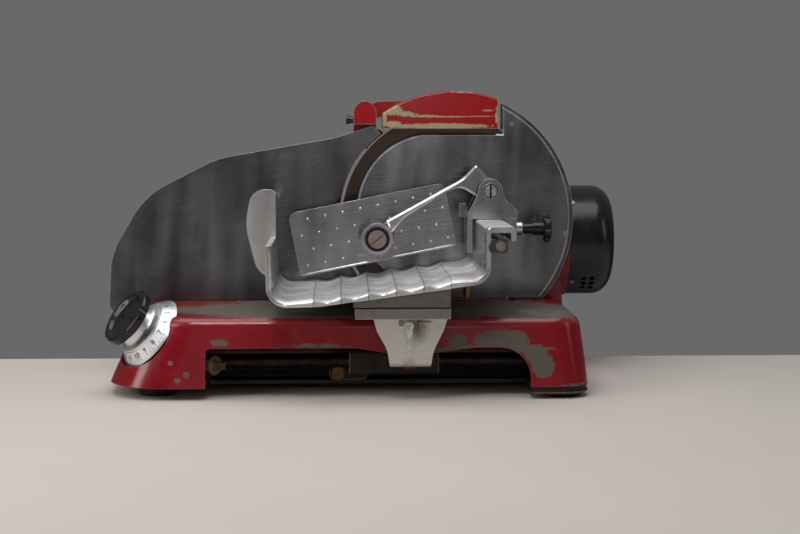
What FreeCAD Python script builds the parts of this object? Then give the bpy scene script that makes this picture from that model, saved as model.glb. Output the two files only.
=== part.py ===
"""Electric counter slicer with a hand-pushed carriage: one STEP file per sub-part.

Millimetres. X runs along the carriage's travel, Y from the operator through the
blade, Z up. The model is drawn with X = 0 on the blade's axis and Y = 0 on the
cutting plane, and save() moves every part so that the origin lies at the middle
of the footprint, on the surface that the feet stand on.
"""
import FreeCAD
import Part
import math
import os

# ---- overall layout -------------------------------------------------------
BLADE_X = 104.5            # blade axis from the middle of the machine
CUT_Y = 35.0               # cutting plane from the middle of the machine
BLADE_D = 275.0            # cutting diameter
BLADE_LOW = 71.9           # the blade's lowest point above the table
BLADE_Z = BLADE_LOW + BLADE_D / 2
BLADE_TOP = BLADE_Z + BLADE_D / 2
MOTOR_Y = 100.0            # motor axis behind the cutting plane
WHEEL_TEETH = 24           # worm wheel on the blade's spindle
WHEEL_MODULE = 2.0
WHEEL_R = WHEEL_TEETH * WHEEL_MODULE / 2
WORM_R = 13.4              # pitch radius of the worm
WORM_DROP = WHEEL_R + WORM_R    # worm axis below the blade axis
MOTOR_Z = BLADE_Z - WORM_DROP
RUN = 0.05                 # radial play of a running fit
GAP = 0.3                  # clearance between parts that must not touch

# ---- base casting ---------------------------------------------------------
BASE_LEFT = -425.0         # left end at the bottom
BASE_RIGHT = 166.0         # right end at the bottom
BASE_FRONT = -205.0
BASE_REAR = 120.0
BASE_FOOT_Z = 15.0         # underside of the casting above the table
DECK_Z = 100.0             # carriage-side deck
REAR_DECK_Z = 78.0         # slice-side deck
STEP_Y = -6.0              # where the deck steps down behind the carriage
BASE_DRAFT_LEFT = 38.0     # how far the left end leans in, foot to deck
BASE_DRAFT_RIGHT = 12.0
BASE_DRAFT = 8.0           # lean of the front and rear walls
BASE_CORNER = 78.0         # plan radius of the left corners
BASE_CORNER_RIGHT = 34.0
BASE_EDGE = 14.0           # rounding of the upper edges
BASE_WALL = 6.0
HOOD_Z = 63.0              # lip of the hood over the carriage channel
HOOD_LOW_Z = 56.5          # the lip dips here, behind the carriage
ARCH_LEFT = -302.0         # carriage opening in the front wall
ARCH_RIGHT = 92.0
ARCH_RADIUS = 38.0
CHANNEL_REAR = -85.0       # rear wall of the carriage channel


def vec(x, y, z):
    return FreeCAD.Vector(x, y, z)


X_AXIS = vec(1, 0, 0)
Y_AXIS = vec(0, 1, 0)
Z_AXIS = vec(0, 0, 1)


def save(name, *solids):
    """Move the solids to the machine's own origin and write them as one node."""
    shape = solids[0] if len(solids) == 1 else Part.makeCompound(list(solids))
    shape = shape.copy()
    shape.translate(vec(BLADE_X, CUT_Y, 0))
    shape.exportStep("parts/" + name + ".step")


def on_xz(y):
    """Place plan points (x, z) on the plane at y."""
    return lambda a, b: vec(a, y, b)


def on_xy(z):
    return lambda a, b: vec(a, b, z)


def on_yz(x):
    return lambda a, b: vec(x, a, b)


def outline(corners, place):
    """Closed wire through corners (a, b) or (a, b, radius), rounded where asked."""
    count = len(corners)
    ends = []
    for i, corner in enumerate(corners):
        here = place(corner[0], corner[1])
        radius = corner[2] if len(corner) > 2 else 0.0
        if radius <= 0:
            ends.append((here, here, here))
            continue
        before = corners[i - 1]
        after = corners[(i + 1) % count]
        back = (place(before[0], before[1]) - here).normalize()
        ahead = (place(after[0], after[1]) - here).normalize()
        half = back.getAngle(ahead) / 2
        reach = radius / math.tan(half)
        inward = (back + ahead).normalize()
        middle = here + inward * (radius / math.sin(half) - radius)
        ends.append((here + back * reach, middle, here + ahead * reach))
    edges = []
    for i in range(count):
        start, middle, end = ends[i]
        if (start - end).Length > 1e-6:
            edges.append(Part.Arc(start, middle, end).toShape())
        following = ends[(i + 1) % count][0]
        if (following - end).Length > 1e-6:
            edges.append(Part.LineSegment(end, following).toShape())
    return Part.Wire(edges)


def plate(corners, place, depth):
    """Solid from a rounded outline, pushed along the vector depth."""
    return Part.Face(outline(corners, place)).extrude(depth)


def block(x, y, z):
    """Box from three (low, high) pairs."""
    size = (x[1] - x[0], y[1] - y[0], z[1] - z[0])
    return Part.makeBox(size[0], size[1], size[2], vec(x[0], y[0], z[0]))


def rod(radius, base, axis, length):
    return Part.makeCylinder(radius, length, base, axis)


def tube(outer, inner, base, axis, length):
    """Ring or bush: a cylinder with a through bore."""
    over = axis * 1.0
    hole = Part.makeCylinder(inner, length + 2, base - over, axis)
    return Part.makeCylinder(outer, length, base, axis).cut(hole)


def cone(radius, tip_radius, base, axis, length):
    return Part.makeCone(radius, tip_radius, length, base, axis)


def join(*shapes):
    """Fuse shapes into one solid and clean the seams between coplanar faces."""
    whole = shapes[0].fuse(list(shapes[1:]))
    return whole.removeSplitter()


def turned(profile, origin, axis):
    """Turn a closed (radius, height) profile about an axis through origin."""
    side = X_AXIS if abs(axis.dot(X_AXIS)) < 0.9 else Z_AXIS
    side = (side - axis * side.dot(axis)).normalize()
    wire = outline(profile, lambda r, h: origin + side * r + axis * h)
    return Part.Face(wire).revolve(origin, axis, 360)


def seated(part, screws):
    """Cut the screws' own places out of a part of the same body."""
    for screw in screws:
        part = part.cut(screw)
    return part


def around(count, start=0.0, sweep=360.0):
    """Equal angles in degrees round a circle."""
    return [start + sweep * i / count for i in range(count)]


def polar(radius, degrees):
    angle = math.radians(degrees)
    return radius * math.cos(angle), radius * math.sin(angle)


def slot_cut(radius, width, depth, top, axis, across):
    """Straight screwdriver slot to cut from a round head whose top is at top."""
    side = axis.cross(across).normalize()
    corner = top - axis * depth - across * (radius + 1) - side * (width / 2)
    points = [corner, corner + across * (2 * radius + 2)]
    points += [points[1] + side * width, corner + side * width, corner]
    return Part.Face(Part.makePolygon(points)).extrude(axis * (depth + 1))


def slotted_screw(radius, head, shank_radius, shank, seat, axis, across):
    """Cheese-head screw: head on the seat, shank the other way into the part."""
    shank_rod = rod(shank_radius, seat - axis * shank, axis, shank + 0.5)
    body = join(rod(radius, seat, axis, head), shank_rod)
    return body.cut(slot_cut(radius, radius * 0.22, head * 0.45, seat + axis * head, axis, across))


# ---- thickness dial -------------------------------------------------------
DIAL_CENTRE = vec(-371.0, -150.0, 74.0)    # middle of the dial's land on the base
DIAL_AXIS = vec(-0.70, -0.41, 0.585).normalize()
DIAL_R = 48.0
DIAL_LAND_R = 50.0
DIAL_BORE_R = 14.0
KNOB_R = 37.5

# ---- feet -----------------------------------------------------------------
FOOT_R = 24.0
FOOT_PLACES = [(-365.0, -145.0), (134.0, -170.0), (-365.0, 85.0), (134.0, 85.0)]
FOOT_PAD_TOP = 18.0        # underside of the bosses that the feet screw into


def base_plan(z, lean):
    """Plan outline of the base at height z, drawn in by lean (0 at foot, 1 at deck)."""
    left = BASE_LEFT + BASE_DRAFT_LEFT * lean
    right = BASE_RIGHT - BASE_DRAFT_RIGHT * lean
    front = BASE_FRONT + BASE_DRAFT * lean
    rear = BASE_REAR - BASE_DRAFT * lean
    corners = [(left, front, BASE_CORNER), (right, front, BASE_CORNER_RIGHT)]
    corners += [(right, rear, BASE_CORNER_RIGHT), (left, rear, BASE_CORNER)]
    return corners


def base_block(wall, top):
    """Drafted body of the base, wall thinner all round, up to the height top."""
    rows = []
    for z, lean in ((BASE_FOOT_Z - (1 if wall else 0), 0.0), (top, 1.0)):
        left_front, right_front, right_rear, left_rear = base_plan(z, lean)
        drawn = [
            (left_front[0] + wall, left_front[1] + wall, BASE_CORNER - wall),
            (right_front[0] - wall, right_front[1] + wall, BASE_CORNER_RIGHT - wall),
            (right_rear[0] - wall, right_rear[1] - wall, BASE_CORNER_RIGHT - wall),
            (left_rear[0] + wall, left_rear[1] - wall, BASE_CORNER - wall),
        ]
        rows.append(outline(drawn, on_xy(z)))
    return Part.makeLoft(rows, True, True)


def upper_edges(shape, height, low_y, high_y):
    """Edges that lie wholly at a height, between two depths."""
    found = []
    for edge in shape.Edges:
        box = edge.BoundBox
        level = abs(box.ZMin - height) < 0.01 and abs(box.ZMax - height) < 0.01
        if level and box.YMin > low_y and box.YMax < high_y:
            found.append(edge)
    return found


def dial_point(out, radius=0.0, degrees=0.0):
    """Point measured from the dial's land: out along its axis, then across it."""
    level = Z_AXIS.cross(DIAL_AXIS).normalize()
    steep = DIAL_AXIS.cross(level)
    a, b = polar(radius, degrees)
    return DIAL_CENTRE + DIAL_AXIS * out + level * a + steep * b


def base_shell():
    """Outer form of the casting: drafted box, stepped deck and the dial's boss."""
    body = base_block(0.0, DECK_Z)
    body = body.makeFillet(BASE_EDGE, upper_edges(body, DECK_Z, -1000, 1000))
    step = block((BASE_LEFT - 9, BASE_RIGHT + 9), (STEP_Y, BASE_REAR + 9), (REAR_DECK_Z, DECK_Z + 9))
    body = body.cut(step)
    boss = cone(DIAL_LAND_R + 26, DIAL_LAND_R, dial_point(-46), DIAL_AXIS, 46)
    below = block((-600, 0), (-400, 400), (-100, BASE_FOOT_Z))
    above = block((-600, 0), (-400, 400), (DECK_Z, 300))
    body = body.fuse(boss.cut(below).cut(above))
    return body.cut(rod(DIAL_LAND_R + GAP, dial_point(0), DIAL_AXIS, 60))


# ---- running gear ---------------------------------------------------------
SPINDLE_R = 10.0
HUB_R = 44.0
HUB_FRONT = 9.0            # seat of the blade behind the cutting plane
HUB_REAR = 20.0
BEARING_R = 21.0
BEARING_W = 12.0
FRONT_BEARING_Y = 40.0
REAR_BEARING_Y = 126.0
GEAR_CASE_REAR = 142.0
GEAR_CASE_FRONT = 30.0
COLUMN_LEFT = -62.0
SWITCH_X = 100.0           # rotary switch in the rear wall
SWITCH_Z = 46.0
GLAND_X = 60.0             # cable inlet beside it
GLAND_Z = 42.0
REAR_SEAT = 116.0          # flats faced on the drafted rear wall for both
WHEEL_W = 18.0
SHAFT_R = 7.0
SHAFT_BEARING_R = 16.0
SHAFT_BEARING_W = 10.0
SHAFT_BEARINGS = [-42.0, 30.0]
SHAFT_LEFT = -49.0
SHAFT_RIGHT = 222.0

# ---- motor ----------------------------------------------------------------
MOTOR_R = 75.0
MOTOR_WALL = 3.0
BARREL_LEFT = 44.0         # motor barrel of the column
BARREL_RIGHT = 170.0
MOTOR_END = 234.0
MOTOR_EDGE = 27.0
STATOR_R = 62.0
STATOR_BORE = 36.0
ROTOR_R = 35.0
STATOR_SPAN = (78.0, 140.0)

# ---- blade, guard and cover -----------------------------------------------
BAND_INNER = 100.0
GUARD_INNER = BLADE_D / 2 + 3.5
GUARD_R = GUARD_INNER + 25.5
GUARD_X = 3.6              # the guard sits a little to the right of the blade
GUARD_FRONT = 0.4
GUARD_REAR = 26.0
PAN_FRONT = 22.0
PAN_X = -60.0              # left edge of the pan behind the blade
NOTCH_X = 75.0             # the guard stops here under the sharpener
NOTCH_Z = BLADE_TOP - 27.9
COVER_FRONT = -3.0
COVER_T = 2.4
COVER_R = GUARD_R - 4.5
COVER_LEFT_R = 104.0
COVER_LEFT = vec(-12.8, 0, BLADE_Z + 7.4)
AXIS = vec(0, 0, BLADE_Z)
MOTOR_AXIS = vec(0, MOTOR_Y, MOTOR_Z)
COVER_SCREWS = []          # on the guard's ring: angle and distance outside its bore
for degrees, out in ((55.58632, 8.3372), (-7.93511, 16.912), (-67.47266, 11.43097)):
    dx, dz = polar(GUARD_INNER + out, degrees)
    COVER_SCREWS.append((GUARD_X + dx, BLADE_Z - 0.6 + dz))

# ---- carriage -------------------------------------------------------------
RAIL_Y = -150.0
RAIL_Z = 41.0
RAIL_R = 9.0
RAIL_LEFT = -312.0
RAIL_RIGHT = 118.0
TRACK_Y = -118.0
ROLLER_R = 11.0
ROLLER_X = -142.0
SLIDE_LEFT = -128.0
SLIDE_RIGHT = -18.0
SLEEVE_HALF = 16.0

# ---- gauge plate ----------------------------------------------------------
GAUGE_T = 6.0
GAUGE_R = BLADE_D / 2 + 2.0
GAUGE_BOTTOM = 83.0
GAUGE_ROD_R = 8.0
GAUGE_ROD_X = -330.0
GAUGE_ROD_Z = 46.0
GAUGE_ROD_FRONT = -97.0
GAUGE_ROD_REAR = 96.0
GAUGE_BOSS_REAR = 90.0     # front face of the rod's rear boss


def at(x, y, z=None):
    """Point relative to the blade's axis when no height is given."""
    return vec(x, y, BLADE_Z if z is None else z)


def base_casting():
    """Hollow casting with the carriage opening, bosses, bearing walls and slots."""
    body = base_shell()
    hollow = base_block(BASE_WALL, REAR_DECK_Z - BASE_WALL)
    front_room = block((ARCH_LEFT + 8, ARCH_RIGHT - 8), (BASE_FRONT + 14, STEP_Y - 10), (40, DECK_Z - 7))
    hollow = hollow.fuse(front_room)
    solid_boss = cone(DIAL_LAND_R + 18, DIAL_LAND_R - 2, dial_point(-34), DIAL_AXIS, 40)
    land_wall = rod(DIAL_LAND_R + BASE_WALL, dial_point(-6), DIAL_AXIS, 90)
    hollow = hollow.cut(solid_boss.fuse(land_wall))
    low = BASE_FOOT_Z + 4
    inner_wall = block((BASE_LEFT + 20, BASE_RIGHT - 10), (CHANNEL_REAR, CHANNEL_REAR + 6), (low, DECK_Z))
    left_wall = block((ARCH_LEFT - 6, ARCH_LEFT), (BASE_FRONT, CHANNEL_REAR), (low, DECK_Z))
    right_wall = block((ARCH_RIGHT + 16, ARCH_RIGHT + 22), (BASE_FRONT, CHANNEL_REAR), (low, DECK_Z))
    rail_bosses = rod(RAIL_R + 8, vec(RAIL_LEFT, RAIL_Y, RAIL_Z), X_AXIS, ARCH_LEFT - RAIL_LEFT)
    x, z = GAUGE_ROD_X, GAUGE_ROD_Z
    front_boss = rod(GAUGE_ROD_R + 6, vec(x, CHANNEL_REAR, z), Y_AXIS, 25)
    rear_boss = rod(GAUGE_ROD_R + 6, vec(x, GAUGE_BOSS_REAR, z), Y_AXIS, 30)
    hollow = hollow.cut(inner_wall.fuse([left_wall, right_wall, rail_bosses, front_boss, rear_boss]))
    for foot_x, foot_y in FOOT_PLACES:
        hollow = hollow.cut(rod(13.0, vec(foot_x, foot_y, FOOT_PAD_TOP), Z_AXIS, 80))
    body = body.cut(hollow)
    arch = [(ARCH_LEFT, -20), (ARCH_RIGHT, -20), (ARCH_RIGHT, HOOD_Z, ARCH_RADIUS)]
    arch += [(23, HOOD_Z, 40), (-27, HOOD_LOW_Z, 20), (-81, HOOD_LOW_Z, 20), (-119, HOOD_Z, 40)]
    arch.append((ARCH_LEFT, HOOD_Z, 5))
    body = body.cut(plate(arch, on_xz(BASE_FRONT - 9), Y_AXIS * (CHANNEL_REAR - BASE_FRONT + 9 - GAP)))
    bores = [rod(RAIL_R, vec(RAIL_LEFT - 30, RAIL_Y, RAIL_Z), X_AXIS, RAIL_RIGHT - RAIL_LEFT + 30)]
    bores.append(rod(DIAL_BORE_R + RUN, dial_point(-60), DIAL_AXIS, 80))
    for foot_x, foot_y in FOOT_PLACES:
        bores.append(rod(3.0, vec(foot_x, foot_y, 0), Z_AXIS, 44))
        bores.append(rod(FOOT_R + 1, vec(foot_x, foot_y, -9), Z_AXIS, FOOT_PAD_TOP + 9))
    slot = [(x - 14, 4, 4), (x + 14, 4, 4), (x + 14, 72, 4), (x - 14, 72, 4)]
    bores.append(plate(slot, on_xy(REAR_DECK_Z - 20), Z_AXIS * 40))
    bores.append(rod(GAUGE_ROD_R + RUN, vec(x, CHANNEL_REAR - 9, z), Y_AXIS, 40))
    bores.append(rod(GAUGE_ROD_R + RUN, vec(x, GAUGE_BOSS_REAR - 1, z), Y_AXIS, 23))
    bores.append(rod(BLADE_D / 2 + 3, at(0, -3), Y_AXIS, 16))
    for x, z, hole, seat in ((GLAND_X, GLAND_Z, 9.0, 14.0), (SWITCH_X, SWITCH_Z, 12.0, 17.0)):
        bores.append(rod(hole, vec(x, BASE_REAR - 20, z), Y_AXIS, 40))
        bores.append(rod(seat, vec(x, REAR_SEAT, z), Y_AXIS, 20))
    return body.cut(bores[0].fuse(bores[1:]))


def bottom_cover():
    """Sheet that closes the rear bay of the base from below."""
    corners = [(BASE_LEFT + 62, CHANNEL_REAR + 2, 8), (BASE_RIGHT - 58, CHANNEL_REAR + 2, 8)]
    corners += [(BASE_RIGHT - 58, BASE_REAR - 12, 8), (BASE_LEFT + 62, BASE_REAR - 12, 8)]
    sheet = plate(corners, on_xy(BASE_FOOT_Z + 2), Z_AXIS * 2)
    for x, y in FOOT_PLACES[2:]:
        sheet = sheet.cut(rod(FOOT_R + 2, vec(x, y, 0), Z_AXIS, 40))
    return sheet


def rubber_foot(x, y):
    """Soft conical foot with a recess for its screw."""
    profile = [(0, 4), (7, 4), (7, 0), (FOOT_R - 2, 0), (FOOT_R, 3), (FOOT_R - 3, FOOT_PAD_TOP - 1)]
    profile += [(FOOT_R - 5, FOOT_PAD_TOP), (0, FOOT_PAD_TOP)]
    body = turned(profile, vec(x, y, 0), Z_AXIS)
    return body.cut(rod(3.0, vec(x, y, 0), Z_AXIS, 40))


def foot_screw(x, y):
    return join(rod(6.0, vec(x, y, 1), Z_AXIS, 3), rod(2.9, vec(x, y, 3.5), Z_AXIS, 38))


def toe(inset, low, high):
    """Slab under the right front foot of the base, clear of the rubber foot."""
    left, right, front, rear = ARCH_RIGHT + inset, BASE_RIGHT - inset, BASE_FRONT + inset, -140.0
    corners = [(left, front), (right, front, BASE_CORNER_RIGHT - inset), (right, rear), (left, rear)]
    x, y = FOOT_PLACES[1]
    slab = plate(corners, on_xy(low), Z_AXIS * (high - low))
    return slab.cut(rod(FOOT_R + 1.5, vec(x, y, 0), Z_AXIS, 30))


def gear_column():
    """Casting that carries the spindle, the worm shaft and the motor."""
    barrel = rod(MOTOR_R + 2, MOTOR_AXIS + X_AXIS * BARREL_LEFT, X_AXIS, BARREL_RIGHT - BARREL_LEFT)
    throat = cone(36, MOTOR_R + 2, MOTOR_AXIS + X_AXIS * (BARREL_LEFT - 34), X_AXIS, 34)
    head = rod(48, at(0, GEAR_CASE_FRONT), Y_AXIS, GEAR_CASE_REAR - GEAR_CASE_FRONT)
    box = rod(30, MOTOR_AXIS + X_AXIS * (SHAFT_LEFT - 9), X_AXIS, BARREL_LEFT - SHAFT_LEFT + 9)
    foot = [(COLUMN_LEFT, REAR_DECK_Z), (BARREL_RIGHT - 8, REAR_DECK_Z), (BARREL_RIGHT - 14, MOTOR_Z)]
    foot += [(44, BLADE_Z, 20), (-44, BLADE_Z, 8), (COLUMN_LEFT, BLADE_Z - 24, 8)]
    pedestal = plate(foot, on_xz(34), Y_AXIS * (BASE_REAR - 20 - 34))
    body = join(barrel, throat, head, box, pedestal)
    cuts = [rod(STATOR_R, MOTOR_AXIS + X_AXIS * (BARREL_LEFT + 8), X_AXIS, 200)]
    cuts.append(rod(WHEEL_R + WHEEL_MODULE + 5, at(0, MOTOR_Y - 16), Y_AXIS, 34))
    cuts.append(block((-200, 200), (0, GUARD_REAR), (0, 400)))
    cuts.append(rod(47, at(0, GEAR_CASE_REAR), Y_AXIS, 60))
    cuts.append(rod(46, at(0, GUARD_REAR), Y_AXIS, GEAR_CASE_FRONT - GUARD_REAR))
    cuts.append(rod(WORM_R + 5, MOTOR_AXIS - X_AXIS * 34, X_AXIS, 62))
    front_pocket = FRONT_BEARING_Y + BEARING_W / 2 - GEAR_CASE_FRONT
    cuts.append(rod(BEARING_R, at(0, GEAR_CASE_FRONT - 1), Y_AXIS, front_pocket + 1))
    cuts.append(rod(BEARING_R, at(0, MOTOR_Y), Y_AXIS, 80))
    cuts.append(rod(SPINDLE_R + 3, at(0, 0), Y_AXIS, 160))
    for x in SHAFT_BEARINGS:
        pocket = MOTOR_AXIS + X_AXIS * (x - SHAFT_BEARING_W / 2)
        cuts.append(rod(SHAFT_BEARING_R, pocket, X_AXIS, SHAFT_BEARING_W))
    cuts.append(rod(SHAFT_BEARING_R, MOTOR_AXIS + X_AXIS * (SHAFT_LEFT - 20), X_AXIS, 22))
    cuts.append(rod(SHAFT_R + 3, MOTOR_AXIS + X_AXIS * (SHAFT_LEFT - 2), X_AXIS, 200))
    return body.cut(cuts[0].fuse(cuts[1:]))


def gear_case_cover():
    """Round cover on the rear of the gear case, over the spindle's rear bearing."""
    spigot = BEARING_R - GAP
    profile = [(0, -8), (spigot, -8), (spigot, 0), (46, 0), (46, 3), (44, 4.5), (30, 7), (0, 7)]
    cover = turned(profile, at(0, GEAR_CASE_REAR), Y_AXIS)
    return seated(cover, case_cover_screws())


def case_cover_screws():
    seats = [polar(39, a) for a in around(4, 45)]
    return [rod(3.2, at(x, GEAR_CASE_REAR + 2, BLADE_Z + z), Y_AXIS, 5) for x, z in seats]


def shaft_plug():
    """Plug that closes the worm shaft's bore on the left of the gear case."""
    start = MOTOR_AXIS + X_AXIS * (COLUMN_LEFT - 4)
    return join(rod(SHAFT_BEARING_R, start + X_AXIS * 4, X_AXIS, 7), rod(22, start, X_AXIS, 4))


def blade_guard():
    """Ring behind the blade's edge with the pan that ties it to the gear column."""
    centre = vec(GUARD_X, 0, BLADE_Z - 0.6)
    depth = GUARD_REAR - GUARD_FRONT
    ring = tube(GUARD_R, GUARD_INNER, centre + Y_AXIS * GUARD_FRONT, Y_AXIS, depth)
    pan = rod(GUARD_R, centre + Y_AXIS * PAN_FRONT, Y_AXIS, GUARD_REAR - PAN_FRONT)
    ring = ring.fuse(pan)
    ring = ring.cut(rod(34, at(0, 0), Y_AXIS, 60))
    away = [block((-300, PAN_X), (-9, 60), (-100, 500))]
    away.append(block((-300, NOTCH_X), (-9, 60), (NOTCH_Z - 12, 500)))
    away.append(block((-300, 300), (-9, 60), (-100, REAR_DECK_Z + 0.5)))
    away.append(rod(GUARD_INNER, centre + Y_AXIS * GUARD_FRONT, Y_AXIS, PAN_FRONT - GUARD_FRONT))
    gauge_room = block((-300, -44), (-9, PAN_FRONT), (-100, 150))
    away.append(gauge_room)
    seat = tube(46, 34, at(0, GUARD_REAR - 1), Y_AXIS, GEAR_CASE_FRONT - GUARD_REAR + 1)
    ring = ring.cut(away[0].fuse(away[1:])).fuse(seat).removeSplitter()
    for x, z in COVER_SCREWS:
        ring = ring.cut(rod(1.8, vec(x, -9, z), Y_AXIS, 28))
    return ring


def blade_cover():
    """Polished disc in front of the blade: a wide arc on the right, a small one left."""
    start = Y_AXIS * COVER_FRONT
    wide = rod(COVER_R, vec(GUARD_X, 0, BLADE_Z) + start, Y_AXIS, COVER_T)
    small = rod(COVER_LEFT_R, COVER_LEFT + start, Y_AXIS, COVER_T)
    right = block((COVER_LEFT.x + 20, 400), (-9, 9), (-100, 500))
    disc = wide.common(right).fuse(small)
    x = COVER_LEFT.x
    flat = [(x, NOTCH_Z + 1), (40, NOTCH_Z + 1), (40, BLADE_Z - 70), (x, BLADE_Z - 70)]
    low = [(x, BLADE_Z - 60), (x + 30, BLADE_Z - 60), (x + 30, REAR_DECK_Z), (-20, 100)]
    disc = disc.fuse([plate(flat, on_xz(COVER_FRONT), Y_AXIS * COVER_T)])
    disc = disc.fuse(plate(low, on_xz(COVER_FRONT), Y_AXIS * COVER_T))
    notch = block((-300, NOTCH_X), (-9, 9), (NOTCH_Z, 500))
    floor = block((-300, 400), (-9, 9), (0, DECK_Z + 2))
    disc = disc.cut(notch.fuse(floor)).removeSplitter()
    for x, z in COVER_SCREWS:
        disc = disc.cut(rod(2.2, vec(x, -9, z), Y_AXIS, 28))
    rim = [e for e in disc.Edges if e.BoundBox.YMax < COVER_FRONT + 0.01 and e.Length > 30]
    return disc.makeChamfer(1.6, rim)


def cover_screws():
    made = []
    for x, z in COVER_SCREWS[:2]:
        seat = vec(x, COVER_FRONT, z)
        made.append(slotted_screw(3.4, 0.8, 1.7, 14, seat, -Y_AXIS, X_AXIS))
    return made


def motor_cover():
    """Deep-drawn end cover of the motor with two rows of vents low on the front."""
    length = MOTOR_END - BARREL_RIGHT
    outer = [(0, 0), (MOTOR_R, 0), (MOTOR_R, length, MOTOR_EDGE), (0, length)]
    inner_r = MOTOR_R - MOTOR_WALL
    inner_end = length - MOTOR_WALL
    inner = [(0, -1), (inner_r, -1), (inner_r, inner_end, MOTOR_EDGE - MOTOR_WALL), (0, inner_end)]
    start = MOTOR_AXIS + X_AXIS * BARREL_RIGHT
    shell = turned(outer, start, X_AXIS).cut(turned(inner, start, X_AXIS))
    holes = []
    for column in range(2):
        for row in range(3):
            across, up = polar(MOTOR_R + 4, 221 + 8 * row)
            inward = vec(0, -across, -up).normalize()
            place = start + vec(22 + 11 * column, across, up)
            holes.append(rod(3.6, place, inward, 12))
    return seated(shell.cut(holes[0].fuse(holes[1:])), motor_screws())


def motor_screws():
    made = []
    for degrees in (225.0, 45.0, 135.0, 315.0):
        across, up = polar(MOTOR_R, degrees)
        outward = vec(0, across, up).normalize()
        seat = MOTOR_AXIS + vec(BARREL_RIGHT + 6, across, up)
        made.append(slotted_screw(3.2, 1.6, 1.6, 2.8, seat, outward, X_AXIS))
    return made


def stator():
    length = STATOR_SPAN[1] - STATOR_SPAN[0]
    start = MOTOR_AXIS + X_AXIS * STATOR_SPAN[0]
    core = tube(STATOR_R, STATOR_BORE, start, X_AXIS, length)
    windings = tube(STATOR_R - 8, STATOR_BORE + 5, start - X_AXIS * 12, X_AXIS, length + 24)
    return join(core, windings)


def shaft_bearings():
    half = SHAFT_BEARING_W / 2
    places = [MOTOR_AXIS + X_AXIS * (x - half) for x in SHAFT_BEARINGS]
    return [tube(SHAFT_BEARING_R, SHAFT_R + RUN, p, X_AXIS, SHAFT_BEARING_W) for p in places]


def motor_end_shield():
    """Spider behind the fan that holds the motor's outer bearing."""
    start = MOTOR_AXIS + X_AXIS * 162
    rim = tube(STATOR_R, STATOR_R - 5, start, X_AXIS, 8)
    hub = tube(SHAFT_BEARING_R, SHAFT_R + RUN, start, X_AXIS, 12)
    arms = [block((162, 168), (-STATOR_R + 3, STATOR_R - 3), (-7, 7))]
    arms[0].translate(vec(0, MOTOR_Y, MOTOR_Z))
    other = arms[0].copy()
    other.rotate(MOTOR_AXIS, X_AXIS, 90)
    spider = join(rim, arms[0], other, rod(SHAFT_BEARING_R, start, X_AXIS, 12))
    return join(spider, hub).cut(rod(SHAFT_R + RUN, start - X_AXIS, X_AXIS, 20))


def spindle_bearings():
    half = BEARING_W / 2
    places = [at(0, y - half) for y in (FRONT_BEARING_Y, REAR_BEARING_Y)]
    return [tube(BEARING_R, SPINDLE_R + RUN, p, Y_AXIS, BEARING_W) for p in places]


def blade():
    """Dished disc knife: ground band outside, flat seat on the hub inside."""
    edge = BLADE_D / 2
    profile = [(SPINDLE_R + RUN, 5), (62, 5), (BAND_INNER, 4.2), (edge - 4, 0.4), (edge, 0.2), (edge, 0.6)]
    profile += [(edge - 12, 4.6), (BAND_INNER, 7.8), (62, HUB_FRONT), (SPINDLE_R + RUN, HUB_FRONT)]
    disc = turned(profile, AXIS, Y_AXIS)
    for degrees in around(4, 45):
        x, z = polar(30, degrees)
        disc = disc.cut(rod(3.2, at(x, 0, BLADE_Z + z), Y_AXIS, 20))
    return disc


def blade_hub():
    """Flange that the knife is screwed to, tapered down to the spindle."""
    profile = [(SPINDLE_R, HUB_FRONT), (HUB_R, HUB_FRONT), (HUB_R, 14), (22, HUB_REAR)]
    profile.append((SPINDLE_R, HUB_REAR))
    hub = turned(profile, AXIS, Y_AXIS)
    for degrees in around(4, 45):
        x, z = polar(30, degrees)
        hub = hub.cut(rod(3.0, at(x, 0, BLADE_Z + z), Y_AXIS, 19))
    return hub


def blade_screws():
    made = []
    for degrees in around(4, 45):
        x, z = polar(30, degrees)
        head = rod(5, at(x, 2.4, BLADE_Z + z), Y_AXIS, 2.6)
        made.append(join(head, rod(3, at(x, 4.5, BLADE_Z + z), Y_AXIS, 11)))
    return made


def spindle():
    return rod(SPINDLE_R, at(0, 3.5), Y_AXIS, REAR_BEARING_Y + 6.5 - 3.5)


def gear_blank(teeth, module, width, start):
    """Toothed wheel about an axis along Y, teeth as tapered flanks."""
    pitch = teeth * module / 2
    root = pitch - 1.3 * module
    tip = pitch + 0.1 * module
    points = []
    step = 360.0 / teeth
    for i in range(teeth):
        middle = i * step + 90.0
        for radius, offset in ((root, -0.34), (tip, -0.13), (tip, 0.13), (root, 0.34)):
            x, z = polar(radius, middle + offset * step)
            points.append((x, BLADE_Z + z))
    return plate(points, on_xz(start), Y_AXIS * width)


def worm_wheel():
    """Bronze wheel on the spindle, hollow-faced over the worm."""
    wheel = gear_blank(WHEEL_TEETH, WHEEL_MODULE, WHEEL_W, MOTOR_Y - WHEEL_W / 2)
    return wheel.cut(rod(SPINDLE_R, at(0, 0), Y_AXIS, 160))


def worm():
    """Worm on the motor shaft: rings at the wheel's pitch stand for its thread."""
    pitch = math.pi * WHEEL_MODULE
    root = WORM_R - 1.2 * WHEEL_MODULE
    profile = [(SHAFT_R, -22), (root, -22)]
    for i in range(-3, 3):
        middle = (i + 0.5) * pitch
        for height, offset in ((root, -0.30), (WORM_R - 0.5, -0.12), (WORM_R - 0.5, 0.12), (root, 0.30)):
            profile.append((height, middle + offset * pitch))
    profile += [(root, 22), (SHAFT_R, 22)]
    return turned(profile, MOTOR_AXIS, X_AXIS)


def rotor_shaft():
    return rod(SHAFT_R, MOTOR_AXIS + X_AXIS * SHAFT_LEFT, X_AXIS, SHAFT_RIGHT - SHAFT_LEFT)


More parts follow.
